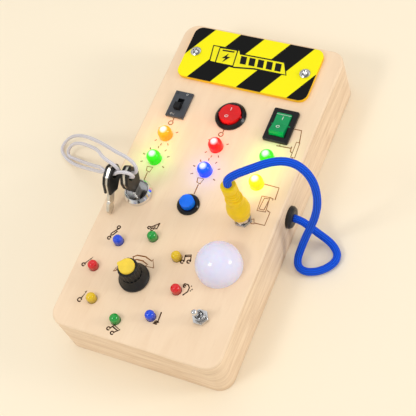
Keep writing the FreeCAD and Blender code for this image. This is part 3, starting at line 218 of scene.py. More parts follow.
def birch_panel():
    """The plain plywood of the panel underneath."""
    finish = Finish("birch_panel", roughness=0.6)
    grain = finish.noise(1.0, 6, 0.6, finish.mapped((16, 380, 380)), 0.5)
    cloud = finish.noise(22, 3, 0.5)
    grain_share = finish.ramp(grain, (0.3, 0.0), (0.7, 1.0))
    body = finish.mixed(grain_share, linear(232, 204, 168), linear(206, 172, 134))
    finish.colour(finish.mixed(finish.sum("MULTIPLY", cloud, 0.4), body, linear(196, 160, 120)))
    finish.bump(grain, 0.2, 0.00015)
    return finish.material


def moulded(name, colour, roughness=0.3, grain=0.15, **sockets):
    """Moulded plastic: a faint mottle and a fine skin texture."""
    finish = Finish(name, roughness=roughness, Specular_IOR_Level=0.3, **sockets)
    mottle = finish.noise(180, 3)
    finish.colour(finish.mixed(finish.ramp(mottle, (0.35, 0.0), (0.65, 1.0)), colour, shaded(colour, 0.88)))
    skin = finish.noise(2600, 2)
    smoothest, roughest = max(roughness - 0.06, 0.02), roughness + 0.08
    finish.rough(finish.span(mottle, to_low=smoothest, to_high=roughest))
    finish.bump(skin, grain, 0.00005)
    return finish.material


def plated(name, colour, roughness=0.12, brush=(600, 600, 40)):
    """Plated metal with faint turning marks and handling haze."""
    finish = Finish(name, roughness=roughness, metallic=1.0)
    haze = finish.noise(240, 4)
    marks = finish.noise(1.0, 3, 0.6, finish.mapped(brush))
    finish.colour(finish.mixed(finish.ramp(haze, (0.35, 0.0), (0.7, 1.0)), colour, shaded(colour, 0.78)))
    finish.rough(finish.span(haze, to_low=roughness, to_high=roughness + 0.16))
    finish.bump(marks, 0.12, 0.00004)
    return finish.material


def threaded(name, colour, pitch, roughness=0.18):
    """Plated metal with a screw thread's rings along its height."""
    finish = Finish(name, roughness=roughness, metallic=1.0)
    wave = finish.add(
        "ShaderNodeTexWave",
        {"Vector": finish.place, "Scale": 0.314 / pitch, "Distortion": 0.0},
        wave_type="BANDS",
        bands_direction="Z",
        wave_profile="TRI",
    ).outputs["Fac"]
    haze = finish.noise(300, 3)
    finish.colour(finish.mixed(haze, colour, shaded(colour, 0.7)))
    finish.bump(wave, 0.9, pitch * 0.5)
    return finish.material


def hazard_stripes():
    """Bright yellow with black bars that lean to the right, and a deeper yellow edge."""
    finish = Finish("hazard_stripes", roughness=0.35, Specular_IOR_Level=0.2)
    x, y, z = finish.parts(finish.mapped(location=(-PLATE_MIDDLE[0], -PLATE_MIDDLE[1], 0)))
    lean, first_bar, pitch, share_black = 0.59, 0.0224, 0.0311, 0.48
    across = finish.sum("SUBTRACT", x, finish.sum("MULTIPLY", y, lean))
    bars_along = finish.sum("DIVIDE", finish.sum("ADD", across, first_bar + 3 * pitch), pitch)
    phase = finish.sum("FRACT", bars_along, 0.0)
    blur = 0.006
    bars = finish.ramp(phase, (0.0, 1.0), (share_black - blur, 1.0), (share_black + blur, 0.0))
    print_grain = finish.noise(900, 2)
    yellow = finish.mixed(finish.sum("MULTIPLY", print_grain, 0.1), linear(254, 244, 0), linear(246, 226, 0))
    black = finish.mixed(finish.sum("MULTIPLY", print_grain, 0.3), linear(6, 6, 6), linear(20, 20, 19))
    face = finish.mixed(bars, yellow, black)
    on_face = finish.ramp(finish.span(z, PLATE_TOP - 0.0006, PLATE_TOP), (0.35, 0.0), (0.6, 1.0))
    finish.colour(finish.mixed(on_face, linear(252, 200, 10), face))
    finish.bump(finish.noise(1800, 2), 0.05, 0.00004)
    return finish.material


def lit_lens(name, body, rim, at):
    """A lit lamp: white at its crown, then its own bright colour, deeper towards its foot."""
    finish = Finish(name, roughness=0.15, Specular_IOR_Level=0.4)
    crown = finish.mapped(location=(-at[0] * MM, -at[1] * MM, -DECK - LED_HEIGHT * MM))
    away = finish.add("ShaderNodeVectorMath", {0: crown}, operation="LENGTH").outputs["Value"]
    near = finish.span(away, 0.0, LED_HEIGHT * MM)
    bubble = finish.noise(700, 2)
    tone = finish.ramp(
        finish.sum("ADD", near, finish.sum("MULTIPLY", bubble, 0.06)),
        (0.2, (1.0, 1.0, 1.0)),
        (0.4, body),
        (0.8, rim),
    )
    finish.colour(finish.mixed(finish.sum("MULTIPLY", bubble, 0.3), rim, shaded(rim, 0.7)))
    finish.links.new(tone, finish.shader.inputs["Emission Color"])
    finish.shader.inputs["Emission Strength"].default_value = 1.0
    return finish.material


def clear_lens(name, colour, shade=0.5):
    """An unlit coloured lens, glossy all over, its colour darker towards its foot as painted shade and
    brighter towards its crown as painted light.
    """
    finish = Finish(name, roughness=0.05, Specular_IOR_Level=1.0)
    swirl = finish.noise(420, 2)
    lens_height = 0.0055
    up = finish.span(finish.parts()[2], DECK, DECK + lens_height)
    uneven = finish.sum("MULTIPLY", finish.sum("SUBTRACT", swirl, 0.5), 0.3)
    # painted shade and light: the colour runs from its shaded copy at the lens's foot to its full colour at
    # the crown
    depth = finish.ramp(finish.sum("ADD", up, uneven), (0.1, 0.0), (0.8, 1.0))
    finish.colour(finish.mixed(depth, shaded(colour, shade), colour))
    finish.bump(finish.noise(900, 2), 0.03, 0.00005)
    return finish.material


def opal_dome():
    """White opal plastic with a faint lavender tone."""
    finish = Finish(
        "opal_dome", roughness=0.14, Specular_IOR_Level=0.5, Subsurface_Weight=0.25, Subsurface_Scale=0.003
    )
    cloud = finish.noise(70, 3)
    finish.colour(finish.mixed(cloud, linear(236, 232, 254), linear(228, 224, 250)))
    finish.bump(finish.noise(600, 2), 0.02, 0.00005)
    return finish.material


def woven(name, colour, groove_shade_and_fibre, strands_round, strands_along, strength=0.6):
    """A braided sleeve: two sets of strands that cross over and under, on the cord's own UV map, darker
    between the strands as painted shade, with a random fibre mottle.
    """
    finish = Finish(name, roughness=0.7, Specular_IOR_Level=0.15)
    u, v, _ = finish.parts(finish.coords.outputs["UV"])
    around = finish.sum("MULTIPLY", u, strands_round)
    along = finish.sum("MULTIPLY", v, strands_along)
    first = finish.sum("FRACT", finish.sum("ADD", around, along), 0.0)
    second = finish.sum("FRACT", finish.sum("SUBTRACT", around, along), 0.0)
    crest_a = finish.sum("SINE", finish.sum("MULTIPLY", first, math.pi), 0.0)
    crest_b = finish.sum("SINE", finish.sum("MULTIPLY", second, math.pi), 0.0)
    over = finish.sum(
        "GREATER_THAN", finish.sum("SINE", finish.sum("MULTIPLY", along, math.tau), 0.0), 0.0
    )
    tones = [
        finish.add("ShaderNodeCombineColor", {0: crest, 1: crest, 2: crest}).outputs[0]
        for crest in (crest_a, crest_b)
    ]
    weave = finish.mixed(over, *tones)
    fibre = finish.noise(2400, 3)
    # painted shade: each strand's colour falls to the dark tone at its edges, in the grooves of the weave
    tone = finish.mixed(finish.ramp(weave, (0.1, 0.0), (0.8, 1.0)), groove_shade_and_fibre, colour)
    finish.colour(finish.mixed(finish.sum("MULTIPLY", fibre, 0.35), tone, groove_shade_and_fibre))
    finish.bump(finish.sum("ADD", weave, finish.sum("MULTIPLY", fibre, 0.3)), strength, 0.00025)
    return finish.material


def burnt_line(name, light, dark):
    """The brown of lines burnt into the wood."""
    finish = Finish(name, roughness=0.7, Specular_IOR_Level=0.1)
    char = finish.noise(700, 3)
    finish.colour(finish.mixed(finish.ramp(char, (0.35, 0.0), (0.7, 1.0)), dark, light))
    finish.bump(char, 0.3, 0.00005)
    return finish.material


def white_ink():
    """The white of the marks printed on the switches, also used for a painted highlight on the green rocker.
    """
    finish = Finish("white_ink", roughness=0.45)
    wear = finish.ramp(finish.noise(1500, 3), (0.4, 0.0), (0.75, 1.0))
    finish.colour(finish.mixed(wear, linear(240, 240, 236), linear(200, 200, 196)))
    return finish.material


def circuit_green():
    """A circuit board's lacquer, with faint tracks."""
    finish = Finish("circuit_green", roughness=0.35, Coat_Weight=0.3)
    tracks = finish.add(
        "ShaderNodeTexBrick", {"Vector": finish.place, "Scale": 90.0, "Mortar Size": 0.03}
    ).outputs["Fac"]
    finish.colour(finish.mixed(tracks, linear(22, 96, 52), linear(40, 128, 70)))
    finish.bump(tracks, 0.2, 0.00005)
    return finish.material


def cell_sleeve():
    """Battery jackets: green with a gold end band, bare of lettering."""
    finish = Finish("cell_sleeve", roughness=0.3, metallic=0.3, Coat_Weight=0.4)
    x = finish.parts()[0]
    half_holder = 0.03
    band = finish.ramp(finish.span(x, -half_holder, half_holder), (0.0, 0.0), (0.66, 0.0), (0.67, 1.0))
    wear = finish.noise(300, 3)
    body = finish.mixed(wear, linear(32, 92, 58), linear(24, 74, 46))
    finish.colour(finish.mixed(band, body, linear(206, 170, 96)))
    return finish.material


def see_green():
    """The rocker's translucent green, deeper inside."""
    finish = Finish("see_green", roughness=0.15, Transmission_Weight=0.1, IOR=1.49, Specular_IOR_Level=0.35)
    depth = finish.noise(260, 3)
    finish.colour(finish.mixed(depth, linear(6, 172, 98), linear(2, 140, 78)))
    finish.bump(finish.noise(1400, 2), 0.04, 0.00005)
    return finish.material


# The six lit lamps, their middles seen from above and the height of their crowns, in millimetres
LED_HEIGHT = 7.0
status_places = {
    "led_orange": (-32.2, 23.7),
    "led_red": (-0.6, 23.7),
    "led_green_right": (30.5, 23.7),
    "led_green_left": (-32.2, 7.5),
    "led_blue": (-0.6, 7.5),
    "led_yellow": (30.5, 7.5),
}
lit_green = (linear(70, 235, 30), linear(24, 176, 10))
lit = {
    "led_orange": (linear(255, 168, 20), linear(242, 120, 18)),
    "led_red": (linear(250, 30, 24), linear(224, 8, 12)),
    "led_green_right": lit_green,
    "led_green_left": lit_green,
    "led_blue": (linear(20, 92, 255), linear(4, 56, 240)),
    "led_yellow": (linear(255, 216, 30), linear(250, 184, 6)),
}

birch = birch_case()
gloss_black = moulded("gloss_black", (0.008, 0.008, 0.009), 0.2, 0.06)
satin_black = moulded("satin_black", (0.016, 0.016, 0.016), 0.45, 0.25)
soft_rubber = moulded("soft_rubber", (0.02, 0.02, 0.02), 0.3, 0.1)
grey_switch = moulded("grey_switch", linear(74, 78, 84), 0.5, 0.3)
nickel = plated("nickel", (0.80, 0.80, 0.80), 0.13)
chrome = plated("chrome", (0.88, 0.88, 0.89), 0.06)
steel = plated("steel", (0.62, 0.61, 0.58), 0.28)
spring_steel = plated("spring_steel", (0.70, 0.69, 0.66), 0.22)
key_silver = plated("key_silver", (0.80, 0.76, 0.68), 0.24, (900, 900, 60))
# the lock barrel's chrome is darker than the body's, as a painted dark reflection inside the lock's bowl
barrel_chrome_painted_dark = plated("barrel_chrome_painted_dark", (0.5, 0.5, 0.51), 0.1)
black_mould = moulded("black_mould", (0.03, 0.03, 0.032), 0.55, 0.35)
yellow_soft = moulded(
    "yellow_soft", linear(250, 210, 8), 0.4, 0.1, Subsurface_Weight=0.1, Subsurface_Scale=0.002
)
burnt = burnt_line("burnt_line", linear(172, 112, 58), linear(132, 80, 38))
burnt_dark = burnt_line("burnt_note", linear(96, 62, 34), linear(52, 32, 18))
ink = white_ink()

finishes = {
    "case_body": birch,
    "bottom_panel": birch_panel(),
    "panel_screws": steel,
    "battery_door": black_mould,
    "battery_holder": black_mould,
    "battery_cells": cell_sleeve(),
    "battery_contacts": spring_steel,
    "hazard_plate": hazard_stripes(),
    "plate_screws": chrome,
    "slide_switch_housing": grey_switch,
    "slide_switch_knob": gloss_black,
    "round_rocker_housing": gloss_black,
    "round_rocker_button": moulded("rocker_red", linear(228, 24, 28), 0.25, 0.05),
    "square_rocker_housing": gloss_black,
    "square_rocker_button": see_green(),
    "push_button_housing": gloss_black,
    "push_button_cap": moulded("button_blue", linear(4, 116, 255), 0.45, 0.1),
    "push_button_spring": spring_steel,
    "push_button_nut": nickel,
    "lock_body": chrome,
    "lock_barrel": barrel_chrome_painted_dark,
    "lock_nut": nickel,
    "key_blade": key_silver,
    "spare_key_blade": key_silver,
    "key_head": moulded("key_black", (0.014, 0.013, 0.012), 0.3, 0.1),
    "ring_leds_red": clear_lens("lens_red", linear(226, 8, 20)),
    "ring_leds_yellow": clear_lens("lens_yellow", linear(236, 196, 0)),
    "ring_leds_green": clear_lens("lens_green", linear(6, 158, 52)),
    "ring_leds_blue": clear_lens("lens_blue", linear(6, 72, 228)),
    "lamp_led": clear_lens("lens_white", (0.9, 0.9, 0.92)),
    "status_circuit_board": circuit_green(),
    "switch_terminals": plated("terminal_brass", (0.76, 0.62, 0.34), 0.25),
    "selector_switch_body": black_mould,
    "selector_nut": nickel,
    "selector_shaft": nickel,
    "knob_body": satin_black,
    "knob_cap": moulded("cap_yellow", linear(253, 218, 70), 0.4, 0.1),
    "lamp_dome": opal_dome(),
    "toggle_body": threaded("toggle_thread", (0.80, 0.80, 0.80), 0.0007),
    "toggle_nut": nickel,
    "toggle_lever": chrome,
    "jack_sleeve": threaded("jack_thread", (0.80, 0.80, 0.79), 0.0008),
    "jack_insulator": black_mould,
    "jack_nut": nickel,
    "plug_skirt": nickel,
    "plug_pin": nickel,
    "plug_barrel": yellow_soft,
    "cord_grommet": soft_rubber,
}
finishes["ring_circuit_board"] = finishes["status_circuit_board"]
finishes["spare_key_head"] = finishes["key_head"]
for name, place in status_places.items():
    finishes[name] = lit_lens(f"lit_{name}", *lit[name], place)

for name, node in nodes.items():
    if name in finishes:
        node.data.materials.clear()
        node.data.materials.append(finishes[name])


# Cords
def smooth_line(name, points):
    """The line that a cord follows: a smooth curve drawn by the points of its route."""
    line = bpy.data.curves.new(name, "CURVE")
    line.dimensions = "3D"
    spline = line.splines.new("NURBS")
    spline.points.add(len(points) - 1)
    for point, at in zip(spline.points, points):
        point.co = (*at, 1)
    spline.order_u = 3
    spline.use_endpoint_u = True
    spline.resolution_u = 14
    holder = bpy.data.objects.new(name, line)
    scene.collection.objects.link(holder)
    mesh = bpy.data.meshes.new_from_object(holder)
    places = [vertex.co.copy() for vertex in mesh.vertices]
    bpy.data.objects.remove(holder)
    bpy.data.meshes.remove(mesh)
    bpy.data.curves.remove(line)
    return places


def spaced(line, step):
    """The points of a line that lie at least that step apart."""
    spots = [line[0]]
    for point in line[1:]:
        if (point - spots[-1]).length > step:
            spots.append(point)
    return spots


def sleeve(name, line, diameter, sides, node, finish):
    """A cord's braided sleeve, closed at both ends, with a UV map that runs round and along it."""
    radius = diameter / 2
    mesh = bmesh.new()
    uv = mesh.loops.layers.uv.new("sleeve")
    spots = spaced(line, radius * 0.3)
    turns = [math.tau * step / sides for step in range(sides)]
    rings, travelled = [], [0.0]
    heading = (spots[1] - spots[0]).normalized()
    side = heading.orthogonal().normalized()
    for index, spot in enumerate(spots):
        before = spots[max(index - 1, 0)]
        after = spots[min(index + 1, len(spots) - 1)]
        way = (after - before).normalized()
        side = (side - way * side.dot(way)).normalized()
        other = way.cross(side)
        if index:
            travelled.append(travelled[-1] + (spot - before).length)
        rim = [spot + (side * math.cos(turn) + other * math.sin(turn)) * radius for turn in turns]
        rings.append([mesh.verts.new(point) for point in rim])
    for index, (ring, further) in enumerate(zip(rings, rings[1:])):
        for step in range(sides):
            following = (step + 1) % sides
            face = mesh.faces.new((ring[step], ring[following], further[following], further[step]))
            face.smooth = True
            steps = (step, step + 1, step + 1, step)
            ends = (index, index, index + 1, index + 1)
            for loop, round_at, end in zip(face.loops, steps, ends):
                loop[uv].uv = (round_at / sides, travelled[end] / diameter)
    mesh.faces.new(list(reversed(rings[0])))
    mesh.faces.new(rings[-1])
    bmesh.ops.recalc_face_normals(mesh, faces=mesh.faces)
    data = bpy.data.meshes.new(name)
    mesh.to_mesh(data)
    mesh.free()
    cord = bpy.data.objects.new(name, data)
    scene.collection.objects.link(cord)
    data.materials.append(finish)
    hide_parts(node)
    return cord


PLUG_CORD = [
    (0.0500, -0.0005, 0.0182),
    (0.0562, -0.0005, 0.0182),
    (0.0613, -0.0010, 0.0134),
    (0.0650, -0.0012, 0.0086),
    (0.0695, -0.0017, 0.0048),
    (0.0740, -0.0034, 0.0026),
    (0.0782, -0.0076, 0.0022),
    (0.0784, -0.0127, 0.0022),
    (0.0753, -0.0173, 0.0022),
    (0.0703, -0.0211, 0.0022),
    (0.0645, -0.0227, 0.0022),
    (0.0597, -0.0210, 0.0023),
    (0.0582, -0.0167, 0.0038),
    (0.0596, -0.0123, 0.0086),
    (0.0621, -0.0088, 0.0160),
    (0.0658, -0.0066, 0.0255),
    (0.0697, -0.0054, 0.0365),
    (0.0727, -0.0042, 0.0485),
    (0.0739, -0.0031, 0.0600),
    (0.0731, -0.0017, 0.0695),
    (0.0700, -0.0006, 0.0770),
    (0.0649, -0.0002, 0.0820),
    (0.0585, -0.0018, 0.0845),
    (0.0518, -0.0053, 0.0848),
    (0.0446, -0.0094, 0.0830),
    (0.0376, -0.0124, 0.0800),
    (0.0331, -0.0141, 0.0764),
    (0.0312, -0.0147, 0.0728),
    (0.0312, -0.0147, 0.0695),
]
KEY_STRING = [
    (-0.0314, -0.0143, 0.0539),
    (-0.0282, -0.0143, 0.0540),
    (-0.0264, -0.0130, 0.0566),
    (-0.0276, -0.0114, 0.0604),
    (-0.0325, -0.0098, 0.0626),
    (-0.0394, -0.0081, 0.0618),
    (-0.0481, -0.0043, 0.0580),
    (-0.0602, 0.0015, 0.0495),
    (-0.0739, 0.0081, 0.0380),
    (-0.0883, 0.0145, 0.0240),
    (-0.1005, 0.0186, 0.0110),
    (-0.1076, 0.0182, 0.0030),
    (-0.1090, 0.0132, 0.0011),
    (-0.1030, 0.0082, 0.0011),
    (-0.0940, 0.0043, 0.0045),
    (-0.0810, -0.0007, 0.0145),
    (-0.0661, -0.0071, 0.0290),
    (-0.0555, -0.0124, 0.0410),
    (-0.0496, -0.0156, 0.0486),
    (-0.0450, -0.0164, 0.0540),
    (-0.0403, -0.0163, 0.0552),
    (-0.0370, -0.0162, 0.0556),
    (-0.0360, -0.0161, 0.0584),
    (-0.0376, -0.0157, 0.0618),
    (-0.0414, -0.0148, 0.0628),
    (-0.0468, -0.0123, 0.0610),
    (-0.0543, -0.0064, 0.0552),
    (-0.0660, -0.0004, 0.0445),
    (-0.0800, 0.0066, 0.0310),
    (-0.0920, 0.0116, 0.0180),
    (-0.0990, 0.0136, 0.0090),
    (-0.1020, 0.0122, 0.0050),
    (-0.1012, 0.0094, 0.0026),
    (-0.0960, 0.0082, 0.0042),
    (-0.0840, 0.0036, 0.0128),
    (-0.0695, -0.0034, 0.0270),
    (-0.0580, -0.0092, 0.0400),
    (-0.0504, -0.0139, 0.0504),
    (-0.0454, -0.0177, 0.0564),
    (-0.0403, -0.0184, 0.0560),
    (-0.0376, -0.0184, 0.0564),
    (-0.0356, -0.0183, 0.0589),
    (-0.0324, -0.0179, 0.0601),
    (-0.0289, -0.0174, 0.0598),
    (-0.0269, -0.0170, 0.0570),
    (-0.0280, -0.0168, 0.0542),
    (-0.0312, -0.0167, 0.0539),
]
plug_line = smooth_line("plug_line", PLUG_CORD)
# the second colour is the painted shade between the braid's strands and the tone of its fibre mottle
blue_braid = woven("blue_braid", linear(24, 104, 255), linear(2, 34, 150), 12, 3.8)
plug_cord = sleeve("plug_cord_braid", plug_line, 0.0043, 20, "plug_cord", blue_braid)
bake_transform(plug_cord)
nodes["cord_knot"].data.materials.clear()
nodes["cord_knot"].data.materials.append(moulded("cord_knot_blue", linear(20, 84, 210), 0.7, 0.6))

string_line = smooth_line("string_line", KEY_STRING)
# the second colour is the painted shade between the braid's strands and the tone of its fibre mottle
white_braid = woven("white_braid", linear(236, 232, 236), linear(196, 190, 194), 6, 1.9, 0.5)
key_string = sleeve("key_string_braid", string_line, 0.002, 12, "key_string", white_braid)
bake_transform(key_string)


# Drawings: places in millimetres, seen from above
LINE_FLATNESS = 0.16
PRINT_THICKNESS = 0.00003


def arc(x, y, radius, start, end, steps=14):
    """Points on an arc, its angles in degrees from +X."""
    return [
        (
            x + radius * math.cos(math.radians(start + (end - start) * step / steps)),
            y + radius * math.sin(math.radians(start + (end - start) * step / steps)),
        )
        for step in range(steps + 1)
    ]


def add_strokes(line, strokes, closed):
    """Adds the strokes to a drawing's curve. Those whose numbers are in closed end where they begin."""
    for index, stroke in enumerate(strokes):
        spline = line.splines.new("POLY")
        spline.points.add(len(stroke) - 1)
        for point, at in zip(spline.points, stroke):
            point.co = (at[0] * MM, at[1] * MM, 0, 1)
        spline.use_cyclic_u = index in closed


def printed(name, line, height, rise, finish, body, lean=None):
    """A drawing's curve as a thin flat piece at that height, its own thickness times rise."""
    holder = bpy.data.objects.new(name, line)
    scene.collection.objects.link(holder)
    mesh = bpy.data.meshes.new_from_object(holder)
    bpy.data.objects.remove(holder)
    piece = bpy.data.objects.new(name, mesh)
    scene.collection.objects.link(piece)
    mesh.transform(Matrix.Diagonal((1, 1, rise, 1)))
    mesh.transform(Matrix.Translation((0, 0, height)))
    if lean:
        mesh.transform(lean)
    mesh.materials.clear()
    mesh.materials.append(finish)
    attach(piece, body)


def drawn(
    name, strokes, width=0.6, height=DECK, finish=None, body="board", closed=(), lean=None
):
    """Strokes of a drawing, as wide as that in millimetres and nearly flat."""
    line = bpy.data.curves.new(name, "CURVE")
    line.dimensions = "3D"
    line.bevel_depth = width / 2 * MM
    line.bevel_resolution = 1
    line.use_fill_caps = True
    add_strokes(line, strokes, closed)
    printed(name, line, height, LINE_FLATNESS, finish or burnt, body, lean)


def patch(name, outlines, height, finish, body="board"):
    """Filled shapes of a print."""
    line = bpy.data.curves.new(name, "CURVE")
    line.dimensions = "2D"
    line.fill_mode = "BOTH"
    line.extrude = PRINT_THICKNESS
    add_strokes(line, outlines, range(len(outlines)))
    printed(name, line, height, 1.0, finish, body)


def rays(x, y, inner, outer, angles):
    """Short strokes that point away from a lamp, at these angles in degrees from +X."""
    return [
        [
            (x + reach * math.cos(math.radians(angle)), y + reach * math.sin(math.radians(angle)))
            for reach in (inner, outer)
        ]
        for angle in angles
    ]


# Lines burnt into the wood
for lamp in ("orange", "red"):
    x, y = status_places[f"led_{lamp}"]
    drawn(
        f"drawn_lamp_{lamp}",
        [[(x, y + 11.8), (x, y + 9.6)], arc(x - 0.6, y + 8.3, 1.3, 80, 420, 14)]
        + rays(x, y, 5.8, 7.2, (150, 225, 266, 303, 30)),
    )
near_rays = (-28, 25, 60, 98, 133, 168, 205)
blue_cap = [(-3.2, 2.7), (0.4, 2.9), (-0.5, -0.7), (-2.7, 0.0)]
blue_lead = [(-1.3, -1.2), (-1.3, -7.4)]
green_cap = [(-34.6, 2.0), (-31.2, 2.2), (-31.9, -1.2), (-34.0, -0.6)]
green_lead = [(-32.9, -1.6), (-32.9, -6.6)]
for lamp, place, cap, lead in (
    ("blue", status_places["led_blue"], blue_cap, blue_lead),
    ("green", status_places["led_green_left"], green_cap, green_lead),
):
    drawn(f"drawn_lamp_{lamp}", [cap, lead] + rays(*place, 7.0, 8.5, near_rays), closed=(0,))
drawn(
    "drawn_circuit_rocker",
    [
        [(42.3, 37.8), (44.3, 37.7), (44.8, 28.1), (42.5, 28.1)],
        [(38.3, 45.4), (42.5, 45.5), (44.0, 37.9)],
        [(40.7, 34.5), (41.0, 31.5), (42.1, 30.8)],
        [(32.2, 33.0), (41.1, 33.4)],
        [(34.0, 34.1), (34.0, 32.8)],
        [(43.6, 28.1), (43.6, 23.4), (36.6, 23.5)],
    ],
    closed=(0,),
)
drawn(
    "drawn_circuit_battery",
    [
        [(35.9, 1.3), (40.5, 1.6), (41.3, -7.3), (36.5, -7.7)],
        [(37.7, 0.5), (40.6, 0.7), (40.1, -6.4), (37.2, -6.5)],
        [(36.8, -12.9), (37.9, -15.7), (36.2, -15.9), (34.8, -13.8)],
        [(34.5, 8.6), (43.2, 8.4), (43.7, 0.9)],
        [(40.5, 1.6), (42.5, 1.2), (42.5, 0.3)],
        [(41.8, -6.2), (43.8, -6.9), (43.8, -15.0), (38.0, -15.1)],
    ],
    closed=(0, 1, 2),
)
drawn(
    "drawn_arrow",
    [
        [
            (-19.1, -52.2),
            (-17.2, -50.7),
            (-12.3, -50.2),
            (-7.7, -51.7),
            (-7.6, -50.4),
            (-5.3, -55.1),
            (-10.3, -55.4),
            (-9.4, -54.2),
            (-12.9, -52.9),
            (-16.3, -53.1),
            (-18.0, -53.8),
        ],
        [(-25.7, -60.5), (-26.3, -63.0), (-24.9, -62.3)],
    ],
    width=0.8,
    closed=(0, 1),
)


def note(name, places, strokes, radius=0.9):
    """A music note: its heads as rings and its stems and flags, burnt darker than the circuits."""
    rings = [arc(x, y, radius, 0, 330, 10) for x, y in places]
    drawn(f"drawn_note_{name}", rings + strokes, width=0.75, finish=burnt_dark)


note(
    "blue_far",
    ((-37.2, -45.3), (-34.5, -37.9)),
    [
        [(-36.6, -44.6), (-37.2, -42.5), (-36.5, -41.6), (-33.5, -37.8)],
        [(-36.4, -43.6), (-35.4, -42.4), (-34.3, -40.2)],
    ],
)
note(
    "green_far",
    ((-17.7, -33.4), (-15.6, -33.9)),
    [
        [(-17.0, -33.0), (-12.6, -29.3)],
        [(-14.9, -33.4), (-13.2, -32.9), (-12.9, -29.9)],
        [(-15.2, -32.6), (-14.2, -31.9)],
    ],
    0.75,
)
note(
    "yellow_far",
    ((8.5, -47.3), (11.9, -46.3)),
    [[(9.4, -46.8), (8.7, -43.2), (11.8, -42.2), (12.8, -45.8)], [(8.8, -44.0), (11.9, -43.0)]],
)
note(
    "clef",
    ((15.4, -60.2),),
    [
        [(14.4, -60.0), (15.0, -58.8), (17.0, -58.8), (18.3, -60.2), (18.3, -62.6), (16.4, -65.3)],
        [(18.8, -59.0), (19.3, -59.2)],
        [(19.8, -60.7), (20.4, -60.9)],
        [(19.3, -61.6), (19.8, -61.9)],
    ],
    0.6,
)
note("blue_near", ((8.9, -83.7),), [[(9.6, -83.4), (9.3, -77.4)], [(7.3, -84.6), (10.3, -83.0)]])
note(
    "green_near",
    ((-14.8, -94.3), (-11.8, -96.0)),
    [[(-14.0, -93.8), (-12.4, -91.7), (-8.4, -93.3), (-11.1, -95.5)], [(-13.1, -92.6), (-9.4, -94.1)]],
)
note("yellow_near", ((-37.5, -83.8),), [[(-37.0, -82.9), (-35.6, -77.9), (-36.3, -79.0)]], 1.1)
note("red_left", ((-44.5, -64.1),), [[(-43.9, -63.2), (-41.1, -58.5), (-41.9, -60.4)]])


# The sticker on the striped plate: a battery, a bolt and plain bars
def on_plate(*points):
    """Points given from the plate's middle, in millimetres."""
    return [(x + PLATE_MIDDLE[0] / MM, y + PLATE_MIDDLE[1] / MM) for x, y in points]


bolt = ((-14.2, 3.3), (-17.2, -0.8), (-15.2, -0.4), (-16.0, -3.6), (-12.5, 1.0), (-14.7, 0.8))
sticker = on_plate(
    (-25.4, 6.5), (-8.7, 6.7), (-7.3, 4.4), (20, 4.7), (23.9, -3.3), (4.3, -3.5), (-7.5, -5.2), (-23.6, -4.4)
)
sticker_yellow = moulded("sticker_yellow", linear(254, 244, 0), 0.35, 0.05)
sticker_black = moulded("sticker_black", (0.004, 0.004, 0.004), 0.4, 0.05)
patch("sticker_face", [sticker], PLATE_TOP + PRINT_THICKNESS, sticker_yellow)
drawn(
    "sticker_lines",
    [
        sticker,
        on_plate((-21, 5.9), (-9.9, 6.4), (-8.7, -4.5), (-19.9, -4.6)),
        on_plate((-18.8, 4.5), (-11.5, 4.8)),
    ],
    width=1.0,
    height=PLATE_TOP + 0.00006,
    finish=sticker_black,
    closed=(0, 1),
)
charge_bars = [
    on_plate((left, -2.0), (left + 3.7, -2.0), (left + 2.7, 3.2), (left - 1.0, 3.2))
    for left in (-5.4, 0.0, 5.4, 10.8, 16.2)
]
patch("sticker_marks", [on_plate(*bolt), *charge_bars], PLATE_TOP + 0.00008, sticker_black)


# Marks printed on the switches, and a painted highlight along the green rocker's far edge
ROCKER_TILT = -9.0
MARK_LIFT = 0.02


def on_rocker(pivot, crown, slope, x, y):
    """The place of a mark on a rocker's half, which slopes up to its end and leans with the rocker."""
    rise = math.tan(math.radians(slope))
    at = (x, y, crown + abs(y) * rise + MARK_LIFT)
    lean = Matrix.Rotation(math.radians(ROCKER_TILT), 4, "X")
    tilt = Matrix.Rotation(math.radians(slope if y > 0 else -slope), 4, "X")
    places = [Matrix.Translation([c * MM for c in place]) for place in (pivot, at)]
    return places[0] @ lean @ places[1] @ tilt


def rocker_marks(kind, pivot, crown, slope, far_at, near_at, lines=()):
    """A stroke on the far half, a ring on the near half and any thin white lines across a rocker, which are
    painted highlights along its edge.
    """
    body = f"{kind}_rocker"
    marks = [
        ("on_mark", far_at, [[(0, -1.0), (0, 1.0)]], 0.42),
        ("off_mark", near_at, [arc(0, 0, 0.9, 0, 345, 16)], 0.42),
    ]
    # these thin white lines are painted highlights where the rocker's edge catches the light
    marks += [("painted_highlight_far", (0, y), [[(-4.4, 0), (4.4, 0)]], 0.22) for y in lines]
    for mark, (x, y), strokes, width in marks:
        lean = on_rocker(pivot, crown, slope, x, y)
        drawn(f"{body}_{mark}", strokes, width, 0, ink, body, lean=lean)


rocker_marks("round", (0, 44.3, 33.3), 1.64, 10.0, (-0.4, 3.0), (-1.1, -2.4))
# the line at 5.6 mm on the green rocker is a painted highlight along its far edge
rocker_marks("square", (30.6, 45.0, 33.2), 1.7, 11.6, (0, 3.5), (-0.6, -2.6), (5.6,))
drawn(
    "slide_switch_marks",
    [
        arc(-34.2, 36.9, 0.5, 0, 330, 8),
        [(-33.1, 36.4), (-33.1, 37.4), (-32.4, 36.4), (-32.4, 37.4)],
        arc(-29.6, 50.9, 0.55, 0, 330, 8),
    ],
    0.2,
    0.0341,
    ink,
)


